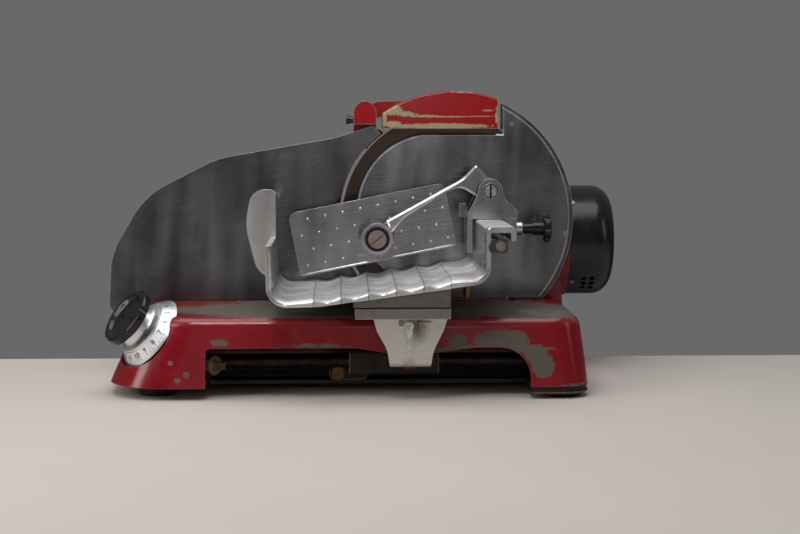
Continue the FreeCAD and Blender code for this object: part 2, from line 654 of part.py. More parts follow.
def rotor_core():
    length = STATOR_SPAN[1] - STATOR_SPAN[0]
    start = MOTOR_AXIS + X_AXIS * STATOR_SPAN[0]
    return tube(ROTOR_R, SHAFT_R, start, X_AXIS, length)


def fan():
    """Radial fan inside the end cover."""
    start = MOTOR_AXIS + X_AXIS * 192
    disc = rod(52, start, X_AXIS, 2)
    hub = rod(13, start, X_AXIS, 16)
    blades = []
    for degrees in around(8):
        vane = block((193, 210), (14, 56), (-1, 1))
        vane.translate(vec(0, MOTOR_Y, MOTOR_Z))
        vane.rotate(MOTOR_AXIS, X_AXIS, degrees)
        blades.append(vane)
    return join(disc, hub, *blades).cut(rod(SHAFT_R, start - X_AXIS, X_AXIS, 30))


# ---- gauge plate, its slide and the dial ----------------------------------
DIAL_SHAFT_R = 8.0
CAM_R = 14.0
CAM_DEPTH = -56.0
STEM_W = 16.0


def gauge_plate():
    """Long guide plate left of the blade, cut round to follow the edge."""
    edge = [(-95, 330, 4), (-146, 314, 90), (-300, 287, 110), (-396, 238, 110), (-441, 160, 90)]
    edge += [(-445, GAUGE_BOTTOM + 3, 8), (-400, GAUGE_BOTTOM, 20), (-20, GAUGE_BOTTOM)]
    edge += [(-20, 250), (-60, 290)]
    sheet = plate(edge, on_xz(0), Y_AXIS * GAUGE_T)
    sheet = sheet.cut(rod(GAUGE_R, at(0, -9), Y_AXIS, 60))
    bevel = cone(GAUGE_R, GAUGE_R + 6.5, at(0, 1.0), -Y_AXIS, 1.1)
    sheet = sheet.cut(bevel)
    for solid in sheet.Solids:
        if solid.BoundBox.XMin < -400:
            return seated(solid, gauge_screws())


def gauge_bracket():
    """Foot casting: clamps on the slide rod and carries the plate on a ribbed pad."""
    x, z = GAUGE_ROD_X, GAUGE_ROD_Z
    hub = rod(GAUGE_ROD_R + 6, vec(x, 14, z), Y_AXIS, 34)
    stem = block((x - STEM_W / 2, x + STEM_W / 2), (GAUGE_T, 30), (z, 120))
    seat = [(x - 40, 90, 8), (x + 70, 90, 8), (x + 70, 170, 12), (x - 40, 170, 12)]
    pad = plate(seat, on_xz(GAUGE_T), Y_AXIS * 5)
    rib = [(GAUGE_T + 4, 88), (30, 88), (30, 112), (GAUGE_T + 4, 165)]
    rib_solid = plate(rib, on_yz(x - 4), X_AXIS * 8)
    body = join(hub, stem, pad, rib_solid)
    return seated(body.cut(rod(GAUGE_ROD_R, vec(x, 0, z), Y_AXIS, 60)), gauge_screws())


def gauge_rod():
    """Slide rod with the follower that the dial's cam pushes."""
    x, z = GAUGE_ROD_X, GAUGE_ROD_Z
    shaft = rod(GAUGE_ROD_R, vec(x, GAUGE_ROD_FRONT, z), Y_AXIS, GAUGE_ROD_REAR - GAUGE_ROD_FRONT)
    return join(shaft, rod(5, vec(x, GAUGE_ROD_FRONT - 7, z), Y_AXIS, 8))


def gauge_screws():
    made = []
    for x in (GAUGE_ROD_X - 28, GAUGE_ROD_X + 58):
        for z in (102, 158):
            head = rod(4.5, vec(x, GAUGE_T + 5, z), Y_AXIS, 3)
            made.append(join(head, rod(2.4, vec(x, 2.5, z), Y_AXIS, 9)))
    return made


def dial_skirt():
    """Spun aluminium skirt: numbered cone, step, and a waist up to the knob."""
    profile = [(DIAL_SHAFT_R, 1), (DIAL_R - 3, 1), (DIAL_R, 2.5), (DIAL_R - 2, 5), (36, 15), (34.5, 15)]
    profile += [(34, 17), (26, 21, 8), (22, 31), (DIAL_SHAFT_R, 31)]
    return turned(profile, dial_point(0), DIAL_AXIS)


def dial_knob():
    """Black knob: dished face, six flats worn into scallops, two pin holes."""
    profile = [(DIAL_SHAFT_R, 31.3), (23, 31.3), (30, 33), (KNOB_R, 35, 3), (KNOB_R, 45, 4)]
    profile += [(30, 45.5, 4), (24, 40.5, 6), (0, 40.5), (0, 36), (DIAL_SHAFT_R, 36)]
    body = turned(profile, dial_point(0), DIAL_AXIS)
    reach = 34.0
    for degrees in around(6, 20):
        body = body.cut(rod(13, dial_point(20, reach + 13, degrees), DIAL_AXIS, 40))
    for degrees in (0, 180):
        body = body.cut(rod(2.4, dial_point(38, 11, degrees), DIAL_AXIS, 9))
    return body


def dial_shaft():
    """Short shaft with the scroll cam at its inner end."""
    shaft = rod(DIAL_SHAFT_R, dial_point(CAM_DEPTH + 4), DIAL_AXIS, 35.7 - CAM_DEPTH - 4)
    cam = rod(CAM_R, dial_point(CAM_DEPTH), DIAL_AXIS, 5)
    scroll = tube(CAM_R - 2, CAM_R - 4, dial_point(CAM_DEPTH - 1), DIAL_AXIS, 2.5)
    return join(shaft, cam).cut(scroll)


def dial_bush():
    return tube(DIAL_BORE_R, DIAL_SHAFT_R + RUN, dial_point(-36), DIAL_AXIS, 36)


# ---- sharpener ------------------------------------------------------------
HINGE = vec(-106.0, 0, BLADE_TOP + 0.1)
KNUCKLE_R = 15.0
HINGE_PIN_R = 4.0
LUG_R = 9.5
LUG_SPAN = (12.0, 28.0)
SHARP_FRONT = -12.0
SHARP_REAR = 36.0
SHARP_LEFT = -82.5
SHARP_RIGHT = 68.2
SHARP_BOTTOM = BLADE_TOP - 20.6
SHARP_WALL = 3.0
STONE_R = 8.0
STONE_Z = BLADE_TOP + 11.6
STONES = {"grinding": (-20.0, 14.0, 8.0), "honing": (22.0, -6.4, 4.0)}   # x, front face, thickness
BUTTON_R = 4.5
BUTTON_Z = BLADE_TOP - 8.9
BUTTON_Y = 2.5


def sharpener_post():
    """Arm from the gear case up to the hinge knuckle beside the sharpener."""
    low, shelf = HINGE.z - 15.2, HINGE.z - 10.5
    arm = [(-40, BLADE_Z + 16.6), (-4, BLADE_Z + 40.6), (-76, HINGE.z - 33, 8), (-84, HINGE.z - 23)]
    arm += [(-91, HINGE.z - 21), (-91, shelf), (-121, shelf, 4), (-121, HINGE.z - 31, 8)]
    body = plate(arm, on_xz(GUARD_REAR + GAP), Y_AXIS * 16)
    body = body.cut(rod(48, at(0, 0), Y_AXIS, 90))
    bridge = block((-121, -91), (-6, GUARD_REAR + 16), (low, shelf))
    lug_front = rod(KNUCKLE_R, vec(HINGE.x, -6, HINGE.z), Y_AXIS, 17)
    front_foot = block((-121, -91), (-6, 11), (low, HINGE.z))
    lug_rear = rod(KNUCKLE_R, vec(HINGE.x, LUG_SPAN[1] + 1, HINGE.z), Y_AXIS, 13)
    rear_foot = block((-121, -91), (LUG_SPAN[1] + 1, LUG_SPAN[1] + 14), (low, HINGE.z))
    body = join(body, bridge, lug_front, front_foot, lug_rear, rear_foot)
    body = body.cut(rod(HINGE_PIN_R, vec(HINGE.x, -2, HINGE.z), Y_AXIS, 80))
    return body.cut(rod(BUTTON_R + RUN, vec(-130, BUTTON_Y, BUTTON_Z), X_AXIS, 24))


def hinge_pin():
    return rod(HINGE_PIN_R, vec(HINGE.x, -2, HINGE.z), Y_AXIS, 43.5)


def sharpener_cover():
    """Arched hood over the top of the blade, open below, with its hinge lug."""
    def arch(inset, y, depth):
        left, right = SHARP_LEFT + inset, SHARP_RIGHT - inset
        low = SHARP_BOTTOM if inset == 0 else SHARP_BOTTOM - 9
        start, end = vec(left, y, HINGE.z - 1 - inset), vec(right, y, HINGE.z + 17.5 - inset)
        crown = Part.Arc(start, vec(3, y, HINGE.z + 28.2 - inset), end).toShape()
        sides = [Part.LineSegment(end, vec(right, y, low)).toShape()]
        sides.append(Part.LineSegment(vec(right, y, low), vec(left, y, low)).toShape())
        sides.append(Part.LineSegment(vec(left, y, low), start).toShape())
        return Part.Face(Part.Wire([crown] + sides)).extrude(Y_AXIS * depth)
    outer = arch(0, SHARP_FRONT, SHARP_REAR - SHARP_FRONT)
    ridge = [e for e in outer.Edges if e.BoundBox.ZMin > HINGE.z - 3 and e.BoundBox.XLength > 100]
    outer = outer.makeFillet(3.0, ridge)
    inner = arch(SHARP_WALL, SHARP_FRONT + SHARP_WALL, SHARP_REAR - SHARP_FRONT - 2 * SHARP_WALL)
    hood = outer.cut(inner)
    arm = [(HINGE.x, HINGE.z + LUG_R), (-88, HINGE.z + 15, 12), (-54, HINGE.z + 16)]
    arm += [(-60, HINGE.z + 5), (SHARP_LEFT + 2, HINGE.z - 5), (HINGE.x, HINGE.z - LUG_R)]
    arm_solid = plate(arm, on_xz(LUG_SPAN[0]), Y_AXIS * (LUG_SPAN[1] - LUG_SPAN[0]))
    lug = rod(LUG_R, vec(HINGE.x, LUG_SPAN[0], HINGE.z), Y_AXIS, LUG_SPAN[1] - LUG_SPAN[0])
    body = hood.fuse([arm_solid.cut(inner), lug])
    for x, front, thick in STONES.values():
        near_rear = front > 0
        start = front + thick + GAP if near_rear else SHARP_FRONT + 1
        end = SHARP_REAR - 1 if near_rear else front - GAP
        body = body.fuse(rod(5.5, vec(x, start, STONE_Z), Y_AXIS, end - start))
    body = body.removeSplitter()
    body = body.cut(rod(HINGE_PIN_R + RUN, vec(HINGE.x, 0, HINGE.z), Y_AXIS, 60))
    body = body.cut(rod(BLADE_D / 2 + 2.5, at(0, -3), Y_AXIS, 16))
    return seated(body, stone_axles())


def stone(name):
    x, front, thick = STONES[name]
    return tube(STONE_R, 2.5 + RUN, vec(x, front, STONE_Z), Y_AXIS, thick)


def stone_axles():
    made = []
    for x, front, thick in STONES.values():
        start = front - 1.5 if front > 0 else SHARP_FRONT + 2
        end = SHARP_REAR - 1 if front > 0 else front + thick + 1.5
        made.append(rod(2.5, vec(x, start, STONE_Z), Y_AXIS, end - start))
    return made


def latch_button():
    return join(rod(BUTTON_R, vec(-127, BUTTON_Y, BUTTON_Z), X_AXIS, 14),
                rod(BUTTON_R + 1.5, vec(-131, BUTTON_Y, BUTTON_Z), X_AXIS, 4.5))


# ---- carriage and tray ----------------------------------------------------
ARM_FRONT = -226.0
ARM_T = 8.0
ARM_LOW = 42.5
PLATE_FRONT = -243.0
PLATE_REAR = -166.0
PLATE_LEFT = -121.5
PLATE_RIGHT = -8.4
LOWER_PLATE_Z = 103.0
LOWER_PLATE_TOP = 116.7
KEY_X = (-76.0, -54.0)     # key on the lower plate that guides the upper one
KEY_H = 4.5
KEY_FRONT = PLATE_FRONT + 10.0    # the groove is shut in front
TRAY_FRONT = -245.0
TRAY_REAR = -5.5
TRAY_LEFT = -227.0
TRAY_WALL = 7.0
TRAY_FLOOR = 7.5
TRAY_RIDGE = 11.0
LIP_DEPTH = 13.0           # the front edge is rounded over from the inside
LIP_THIN = 5.0
FLOOR_LEFT = vec(-165.0, 0, 118.3)      # underside of the floor, left and right ends
FLOOR_RIGHT = vec(38.6, 0, 146.0)
FLUTES = 5
FLUTE_LEFT = -170.7
FLUTE_RIGHT = -7.7
RAIL_TOP = 212.0
RAIL_DROP = 195.5
RAIL_OUT = 68.1
TALL_Y = -105.0            # the left wall is taller behind this depth
LEVER_X = -57.0
LEVER_Z = 94.0


def underside(x):
    """Height of the tray floor's underside."""
    slope = (FLOOR_RIGHT.z - FLOOR_LEFT.z) / (FLOOR_RIGHT.x - FLOOR_LEFT.x)
    return FLOOR_LEFT.z + slope * (x - FLOOR_LEFT.x)


def slide_rod():
    return rod(RAIL_R, vec(RAIL_LEFT, RAIL_Y, RAIL_Z), X_AXIS, RAIL_RIGHT - RAIL_LEFT)


def rail_stud():
    """Washer and square-headed stud that clamp the slide rod's end."""
    axis = vec(0.8, -0.6, 0)
    start = vec(ARCH_LEFT, -171.5, RAIL_Z - 1)
    square = block((-4.5, 4.5), (-4.5, 4.5), (0, 14))
    square.rotate(vec(0, 0, 0), Y_AXIS, 90)
    square.rotate(vec(0, 0, 0), Z_AXIS, math.degrees(math.atan2(axis.y, axis.x)))
    square.translate(start + axis * 12)
    foot = block((ARCH_LEFT, ARCH_LEFT + 4), (-178, -165), (RAIL_Z - 7, RAIL_Z + 5))
    return join(foot, rod(5, start + axis * 4.2, axis, 6), rod(12, start + axis * 10, axis, 3), square)


def guide_track():
    """Angle strip on the channel's rear wall that the roller runs on."""
    angle = [(CHANNEL_REAR, 8.5), (CHANNEL_REAR - 40, 8.5), (CHANNEL_REAR - 40, 12), (CHANNEL_REAR - 3, 12)]
    angle += [(CHANNEL_REAR - 3, 40), (CHANNEL_REAR, 40)]
    return plate(angle, on_yz(ARCH_LEFT + 1), X_AXIS * (ARCH_RIGHT + 14 - ARCH_LEFT))


def carriage_slide():
    """Sleeve block on the slide rod with the roller's bracket behind it."""
    front, rear = RAIL_Y - SLEEVE_HALF, RAIL_Y + SLEEVE_HALF
    corners = [(front, 25, 5), (rear, 25, 5), (rear, 57, 8), (front, 57, 8)]
    body = plate(corners, on_yz(SLIDE_LEFT), X_AXIS * (SLIDE_RIGHT - SLIDE_LEFT))
    z = 12 + GAP + ROLLER_R
    arm = [(ROLLER_X - 11, z - 8, 6), (SLIDE_LEFT + 20, z - 8), (SLIDE_LEFT + 40, 50), (SLIDE_LEFT, 50, 8)]
    arm.append((ROLLER_X - 11, z + 12, 8))
    bracket = plate(arm, on_xz(RAIL_Y + 12), Y_AXIS * 8)
    body = join(body, bracket)
    body = body.cut(rod(RAIL_R + 3, vec(-400, RAIL_Y, RAIL_Z), X_AXIS, 600))
    return body.cut(rod(4, vec(ROLLER_X, RAIL_Y, z), Y_AXIS, 60))


def slide_bushings():
    length = 26
    starts = [SLIDE_LEFT, SLIDE_RIGHT - length]
    return [tube(RAIL_R + 3, RAIL_R + RUN, vec(x, RAIL_Y, RAIL_Z), X_AXIS, length) for x in starts]


def roller_bolt():
    z = 12 + GAP + ROLLER_R
    head = rod(8.5, vec(ROLLER_X, RAIL_Y + 7, z), Y_AXIS, 5)
    head = head.cut(slot_cut(8.5, 2, 1.5, vec(ROLLER_X, RAIL_Y + 7, z), -Y_AXIS, X_AXIS))
    cap = rod(6.5, vec(ROLLER_X, TRACK_Y + 5, z), Y_AXIS, 2)
    return join(head, rod(4, vec(ROLLER_X, RAIL_Y + 11, z), Y_AXIS, TRACK_Y + 6 - RAIL_Y - 11), cap)


def guide_roller():
    z = 12 + GAP + ROLLER_R
    profile = [(4 + RUN, 0), (ROLLER_R, 0, 1.5), (ROLLER_R, 10, 1.5), (4 + RUN, 10)]
    return turned(profile, vec(ROLLER_X, TRACK_Y - 6, z), Y_AXIS)


def support_arm():
    """Funnel-shaped bracket in front of the base, bent back under the hood."""
    top = LOWER_PLATE_Z
    front = [(-100, top), (-95.5, 86, 24), (-83.5, 65, 30), (-79.5, ARM_LOW, 3), (-31, ARM_LOW, 3)]
    front += [(-28, 62, 30), (-15.5, 88, 24), (-10.8, top)]
    whole = plate(front, on_xz(ARM_FRONT), Y_AXIS * (RAIL_Y - SLEEVE_HALF - ARM_FRONT))
    rear = RAIL_Y - SLEEVE_HALF
    side = [(ARM_FRONT, top), (ARM_FRONT, ARM_LOW, 9), (rear, ARM_LOW), (rear, ARM_LOW + ARM_T)]
    side += [(ARM_FRONT + ARM_T, ARM_LOW + ARM_T, 5), (ARM_FRONT + ARM_T, top - 8, 4)]
    side += [(ARM_FRONT + 22, top - 6), (ARM_FRONT + 22, top)]
    body = whole.common(plate(side, on_yz(-130), X_AXIS * 160))
    return seated(body.cut(rod(4, vec(LEVER_X, ARM_FRONT - 9, LEVER_Z), Y_AXIS, 30)), arm_bolts())


def arm_bolts():
    """Bolts of the arm: one up through its foot, one beside the lever."""
    low = vec(-55, -195, ARM_LOW)
    foot = join(rod(7, low - Z_AXIS * 5, Z_AXIS, 5), rod(3, low - Z_AXIS * 1, Z_AXIS, 10))
    seat = vec(-66.5, ARM_FRONT, 96.5)
    small = join(rod(3.6, seat - Y_AXIS * 3.5, Y_AXIS, 3.5), rod(2, seat - Y_AXIS, Y_AXIS, 9))
    return [foot, small]


def lower_plate():
    body = block((PLATE_LEFT, PLATE_RIGHT), (PLATE_FRONT, PLATE_REAR), (LOWER_PLATE_Z, LOWER_PLATE_TOP))
    key = block(KEY_X, (KEY_FRONT, PLATE_REAR), (LOWER_PLATE_TOP - 1, LOWER_PLATE_TOP + KEY_H))
    return join(body, key)


def upper_plate():
    """Wedge between the level slide and the tilted tray, grooved for the key."""
    low = LOWER_PLATE_TOP + GAP
    left, right = PLATE_LEFT - 2, PLATE_RIGHT
    side = [(left, low), (right, low), (right, underside(right)), (left, underside(left))]
    body = plate(side, on_xz(PLATE_FRONT), Y_AXIS * (PLATE_REAR - PLATE_FRONT))
    width = (KEY_X[0] - GAP, KEY_X[1] + GAP)
    groove = block(width, (KEY_FRONT - 2, PLATE_REAR + 1), (low - 1, low + KEY_H))
    return body.cut(groove)


def clamp_lever():
    """Chrome lever that locks the cross slide, on a short eccentric stub."""
    pivot = vec(LEVER_X, ARM_FRONT, LEVER_Z)
    stub = rod(4 - RUN, pivot - Y_AXIS * 1, Y_AXIS, 11)
    hub = rod(5.2, pivot - Y_AXIS * 7.5, Y_AXIS, 7.2)
    handle = [(LEVER_X - 4, LEVER_Z), (LEVER_X - 3.5, LEVER_Z - 14, 8), (LEVER_X - 1, LEVER_Z - 29, 3)]
    handle += [(LEVER_X + 5, LEVER_Z - 29, 3), (LEVER_X + 3.5, LEVER_Z - 14, 8), (LEVER_X + 4, LEVER_Z)]
    blade_part = plate(handle, on_xz(ARM_FRONT - 8.5), Y_AXIS * 4)
    return join(stub, hub, blade_part)


def lever_block():
    """Stop block beside the clamp lever."""
    return block((-46, -30), (ARM_FRONT - 5, ARM_FRONT), (84, 98))


def tray_section(thin=0.0):
    """Corners of the tray's section, outer line first; thin draws the inside out."""
    inner_right = FLOOR_RIGHT.x - TRAY_WALL + thin
    outer = [(TRAY_LEFT, 190, 1), (TRAY_LEFT + 1, FLOOR_LEFT.z - 1.5, 25), (FLOOR_LEFT.x, FLOOR_LEFT.z, 60)]
    outer += [(FLOOR_RIGHT.x, FLOOR_RIGHT.z, 22), (FLOOR_RIGHT.x, RAIL_TOP - 6.5, 2)]
    rail = [(RAIL_OUT - 5.5, RAIL_TOP - 6.5, 2), (RAIL_OUT - 5.5, RAIL_DROP), (RAIL_OUT, RAIL_DROP)]
    rail += [(RAIL_OUT, RAIL_TOP, 4), (inner_right, RAIL_TOP, 5)]
    floor = [(inner_right, underside(inner_right) + TRAY_FLOOR - thin, 16)]
    pitch = (FLUTE_RIGHT - FLUTE_LEFT) / FLUTES
    for i in range(FLUTES):
        ridge = FLUTE_RIGHT - pitch * i
        middle = ridge - pitch / 2
        floor.append((ridge, underside(ridge) + TRAY_RIDGE - thin))
        floor.append((middle, underside(middle) + TRAY_FLOOR - 1 - thin, 26))
    floor.append((FLUTE_LEFT, underside(FLUTE_LEFT) + TRAY_RIDGE - thin))
    floor.append((TRAY_LEFT + TRAY_WALL + 1 - thin, FLOOR_LEFT.z + TRAY_FLOOR - 2 - thin, 18))
    return outer + rail + floor + [(TRAY_LEFT + TRAY_WALL - thin, 190, 1)]


def tray():
    """Cast tray: fluted floor, low and tall left wall, hand guard and pusher rail."""
    start = TRAY_FRONT + LIP_DEPTH
    body = plate(tray_section(), on_xz(start), Y_AXIS * (TRAY_REAR - start))
    rows = []
    for step in range(5):
        turn = math.radians(90.0 * step / 4)
        row = TRAY_FRONT + LIP_DEPTH * (1 - math.cos(turn))
        rows.append(outline(tray_section(LIP_THIN * (1 - math.sin(turn))), on_xz(row)))
    body = body.fuse(Part.makeLoft(rows, True, True))
    left, right = TRAY_LEFT, TRAY_LEFT + TRAY_WALL
    rise = [(TALL_Y, 180), (TRAY_REAR, 180), (TRAY_REAR, 238, 14), (TALL_Y, 249, 18)]
    tall = plate(rise, on_yz(left), X_AXIS * (right - left))
    guard = [(right, 250, 6), (-250, 252, 20), (-258, 205, 70), (-243, 146, 25), (left, 140), (right, 150)]
    flange = plate(guard, on_xz(TALL_Y), Y_AXIS * 4.5)
    rib = block((FLOOR_RIGHT.x - 8, FLOOR_RIGHT.x), (-150, -60), (138, 160))
    ears = []
    for y in (TRAY_FRONT + 6, TRAY_REAR - 14):
        ear = block((FLOOR_RIGHT.x - 1, 59), (y, y + 8), (181, 197))
        ears.append(ear)
    body = join(body, tall, flange, rib, *ears)
    return body.cut(rod(6, vec(51, -400, 189), Y_AXIS, 600))


def pusher_rod():
    return rod(6, vec(51, TRAY_FRONT + 8, 189), Y_AXIS, TRAY_REAR - TRAY_FRONT - 16)


def tray_stud():
    z = underside(20) - 2
    return join(rod(4, vec(20, -110, z - 12), Z_AXIS, 12 + 0.8), rod(6, vec(20, -110, z - 3), Z_AXIS, 3.0))


# ---- product pusher -------------------------------------------------------
PIVOT = vec(51.0, 0, 248.0)
PIVOT_R = 6.0
SADDLE_FRONT = -100.0
SADDLE_REAR = -35.0
CHEEK_T = 7.0
REAR_CHEEK = -57.0
PUSHER_HUB = vec(-92.0, 0, 187.0)
STUD_R = 8.0
ARM_SPAN = (-83.0, -65.0)
ARM_BEVEL = 2.2
LOCK_Z = 199.0
LOCK_Y = -70.0
LOCK_R = 5.0
PUSH_W = 208.0
PUSH_H = 84.0
PUSH_TILT = 11.2
PUSH_FRONT = -23.0
PUSH_T = 2.0
PUSH_LEFT = 107.5          # plate edge left of the hub's axis, along the tilt
PUSH_DROP = 33.5           # plate edge below the hub's axis, across the tilt


def cheek(y):
    """Pear-shaped cheek of the saddle round the pivot screw."""
    base = [(22.4, 213), (22.4, 220, 3), (31, 236, 12), (37, 250), (65, 250), (70, 238, 12)]
    base += [(85.2, 223, 3), (85.2, 213)]
    body = plate(base, on_xz(y), Y_AXIS * CHEEK_T)
    return body.fuse(rod(15.5, vec(PIVOT.x, y, PIVOT.z), Y_AXIS, CHEEK_T))


def saddle():
    """Saddle astride the tray's rail, with two cheeks for the pusher's pivot."""
    depth = (SADDLE_FRONT, SADDLE_REAR)
    top = block((22.4, 85.2), depth, (RAIL_TOP + 1.2, RAIL_TOP + 8))
    inner_leg = block((22.4, 27.8), depth, (170, RAIL_TOP + 3))
    outer_leg = block((RAIL_OUT + 1.2, 85.2), (SADDLE_FRONT + 6, SADDLE_REAR - 5), (188, RAIL_TOP + 3))
    clip = block((14, 23), (-60, -52), (RAIL_TOP + 2, RAIL_TOP + 19))
    collar = rod(9, vec(84, LOCK_Y, LOCK_Z), X_AXIS, 10)
    body = join(top, inner_leg, outer_leg, clip, collar, cheek(SADDLE_FRONT), cheek(REAR_CHEEK))
    body = body.cut(rod(PIVOT_R, vec(PIVOT.x, -300, PIVOT.z), Y_AXIS, 500))
    return body.cut(rod(LOCK_R + RUN, vec(60, LOCK_Y, LOCK_Z), X_AXIS, 60))


def pivot_screw():
    """Shouldered slotted screw through the cheeks and the arm's eye."""
    head = rod(9.8, vec(PIVOT.x, SADDLE_FRONT - 3, PIVOT.z), Y_AXIS, 3)
    head = head.cut(slot_cut(10, 2, 1.4, vec(PIVOT.x, SADDLE_FRONT - 3, PIVOT.z), -Y_AXIS, Z_AXIS))
    length = REAR_CHEEK + CHEEK_T - SADDLE_FRONT
    return join(head, rod(PIVOT_R, vec(PIVOT.x, SADDLE_FRONT - 0.5, PIVOT.z), Y_AXIS, length + 0.5))


def lock_screw():
    return join(rod(LOCK_R, vec(RAIL_OUT + 0.5, LOCK_Y, LOCK_Z), X_AXIS, 40),
                rod(7, vec(96, LOCK_Y, LOCK_Z), X_AXIS, 12))


def lock_knob():
    """Black knob: plain stem and a disc with rounded lobes."""
    start = vec(108, LOCK_Y, LOCK_Z)
    stem = rod(9, start, X_AXIS, 14)
    profile = [(0, 13.5), (15, 13.5), (18, 16), (18, 20.5), (15, 23), (0, 23)]
    disc = turned(profile, start, X_AXIS)
    for degrees in around(8):
        across, up = polar(19.5, degrees)
        disc = disc.cut(rod(3.6, start + vec(10, across, up), X_AXIS, 20))
    knob = join(stem, disc)
    return knob.cut(rod(LOCK_R, start - X_AXIS, X_AXIS, 1.6))


def pusher_arm():
    """Slender curved arm, bevelled in front, from an eye under a peak to a ring at the hub."""
    front, rear = ARM_SPAN
    line = [(-80, 209.5), (-48, 227, 90), (-2, 252.5, 90), (16, 262, 40), (34.4, 281, 3), (48, 266, 8)]
    line += [(64, 250), (58, 238), (36, 240, 8), (15, 252.5, 16), (-2, 247, 60), (-36, 226.5, 60)]
    line += [(-56, 214, 30), (-74, 194)]
    web = plate(line, on_xz(front), Y_AXIS * (rear - front))
    edges = [e for e in web.Edges if e.BoundBox.YMax < front + 0.01]
    web = web.makeChamfer(ARM_BEVEL, edges)
    eye = rod(14, vec(PIVOT.x, front, PIVOT.z), Y_AXIS, rear - front)
    ring = rod(20, vec(PUSHER_HUB.x, front - 6, PUSHER_HUB.z), Y_AXIS, rear - front + 8)
    body = join(web, eye, ring)
    body = body.cut(rod(PIVOT_R + RUN, vec(PIVOT.x, -300, PIVOT.z), Y_AXIS, 500))
    return body.cut(rod(STUD_R + RUN, vec(PUSHER_HUB.x, -300, PUSHER_HUB.z), Y_AXIS, 500))


def tilted(shape):
    shape.rotate(vec(0, 0, 0), Y_AXIS, -PUSH_TILT)
    shape.translate(PUSHER_HUB)
    return shape


def pusher_plate():
    """Thin plate with rounded corners and a lip folded forward along its foot."""
    left, low = -PUSH_LEFT, -PUSH_DROP
    right, high = left + PUSH_W, low + PUSH_H
    corners = [(left, low, 3), (right, low, 3), (right, high, 10), (left, high, 10)]
    sheet = plate(corners, on_xz(PUSH_FRONT), Y_AXIS * PUSH_T)
    lip = block((left + 3, right - 3), (PUSH_FRONT - 6, PUSH_FRONT + 1), (low, low + 1.6))
    stud = rod(STUD_R, vec(PUSHER_HUB.x, -99, PUSHER_HUB.z), Y_AXIS, 200)
    return tilted(join(sheet, lip)).cut(stud)


def pusher_spikes():
    """Short spikes on the side that meets the food, on a staggered grid."""
    left, low = -PUSH_LEFT, -PUSH_DROP
    made = []
    for row in range(4):
        for column in range(8 if row % 2 else 9):
            x = left + 12 + 23.5 * column + (11.7 if row % 2 else 0)
            z = low + 12 + 20 * row
            if math.hypot(x, z) < 27:
                continue
            made.append(tilted(cone(1.8, 0.5, vec(x, PUSH_FRONT + PUSH_T, z), Y_AXIS, 3.5)))
    return made


def pusher_hub():
    """Boss behind the arm that holds the plate, with the stud the arm turns on."""
    boss = cone(24, 17, vec(PUSHER_HUB.x, PUSH_FRONT, PUSHER_HUB.z), -Y_AXIS, 38)
    stud = rod(STUD_R, vec(PUSHER_HUB.x, -96, PUSHER_HUB.z), Y_AXIS, 96 + PUSH_FRONT + PUSH_T + 1.5)
    return join(boss, stud)


def hub_screw():
    washer = rod(15.5, vec(PUSHER_HUB.x, -97.5, PUSHER_HUB.z), Y_AXIS, 1.5)
    head = rod(11.3, vec(PUSHER_HUB.x, -102, PUSHER_HUB.z), Y_AXIS, 4.5)
    head = head.cut(slot_cut(12, 2, 1.6, vec(PUSHER_HUB.x, -102, PUSHER_HUB.z), -Y_AXIS, vec(0.8, 0, 0.6)))
    return join(washer, head)


# ---- small parts of the frame ---------------------------------------------
def slice_deflector():
    """Bent sheet behind the blade that peels the slices off to the rear."""
    flat = COLUMN_LEFT
    corners = [(flat, 40), (flat, 66, 6), (flat - 30, 104), (flat - 31, 103)]
    corners += [(flat - 1.6, 65.4, 5), (flat - 1.6, 40)]
    return plate(corners, on_xy(REAR_DECK_Z + 22), Z_AXIS * 118)


def switch_body():
    seat = vec(SWITCH_X, REAR_SEAT, SWITCH_Z)
    return join(rod(12 - RUN, seat - Y_AXIS * 32, Y_AXIS, 34), rod(16, seat, Y_AXIS, 4))


def switch_knob():
    start = vec(SWITCH_X, REAR_SEAT + 4.3, SWITCH_Z)
    bar = block((-3.5, 3.5), (3, 16), (-11.5, 11.5))
    bar.translate(start)
    return join(cone(14, 12.5, start, Y_AXIS, 6), bar)


def cable_gland():
    """Rubber-lined inlet in the rear wall; nothing is plugged into it."""
    seat = vec(GLAND_X, REAR_SEAT, GLAND_Z)
    body = join(rod(9 - RUN, seat - Y_AXIS * 12, Y_AXIS, 14), rod(13, seat, Y_AXIS, 6))
    return body.cut(rod(3.6, seat - Y_AXIS * 20, Y_AXIS, 60))


def build_frame():
    save("base_casting", base_casting())
    save("bottom_cover", bottom_cover())
    save("rubber_feet", *[rubber_foot(x, y) for x, y in FOOT_PLACES], toe(2.0, 8.5, BASE_FOOT_Z))
    save("foot_screws", *[foot_screw(x, y) for x, y in FOOT_PLACES], toe(0.5, 6.5, 8.5))
    save("gear_column", gear_column())
    save("gear_case_cover", gear_case_cover())
    save("shaft_plug", shaft_plug())
    save("blade_guard", blade_guard())
    save("blade_cover", blade_cover())
    save("cover_screws", *cover_screws(), *motor_screws(), *case_cover_screws())
    save("motor_cover", motor_cover())
    save("stator", stator())
    save("motor_end_shield", motor_end_shield())
    save("bearings", *shaft_bearings(), *spindle_bearings())
    save("sharpener_post", sharpener_post())
    save("hinge_pin", hinge_pin())
    save("slide_rod", slide_rod())
    save("rail_stud", rail_stud())
    save("guide_track", guide_track())
    save("dial_bush", dial_bush())
    save("slice_deflector", slice_deflector())
    save("switch_body", switch_body())
    save("cable_gland", cable_gland())


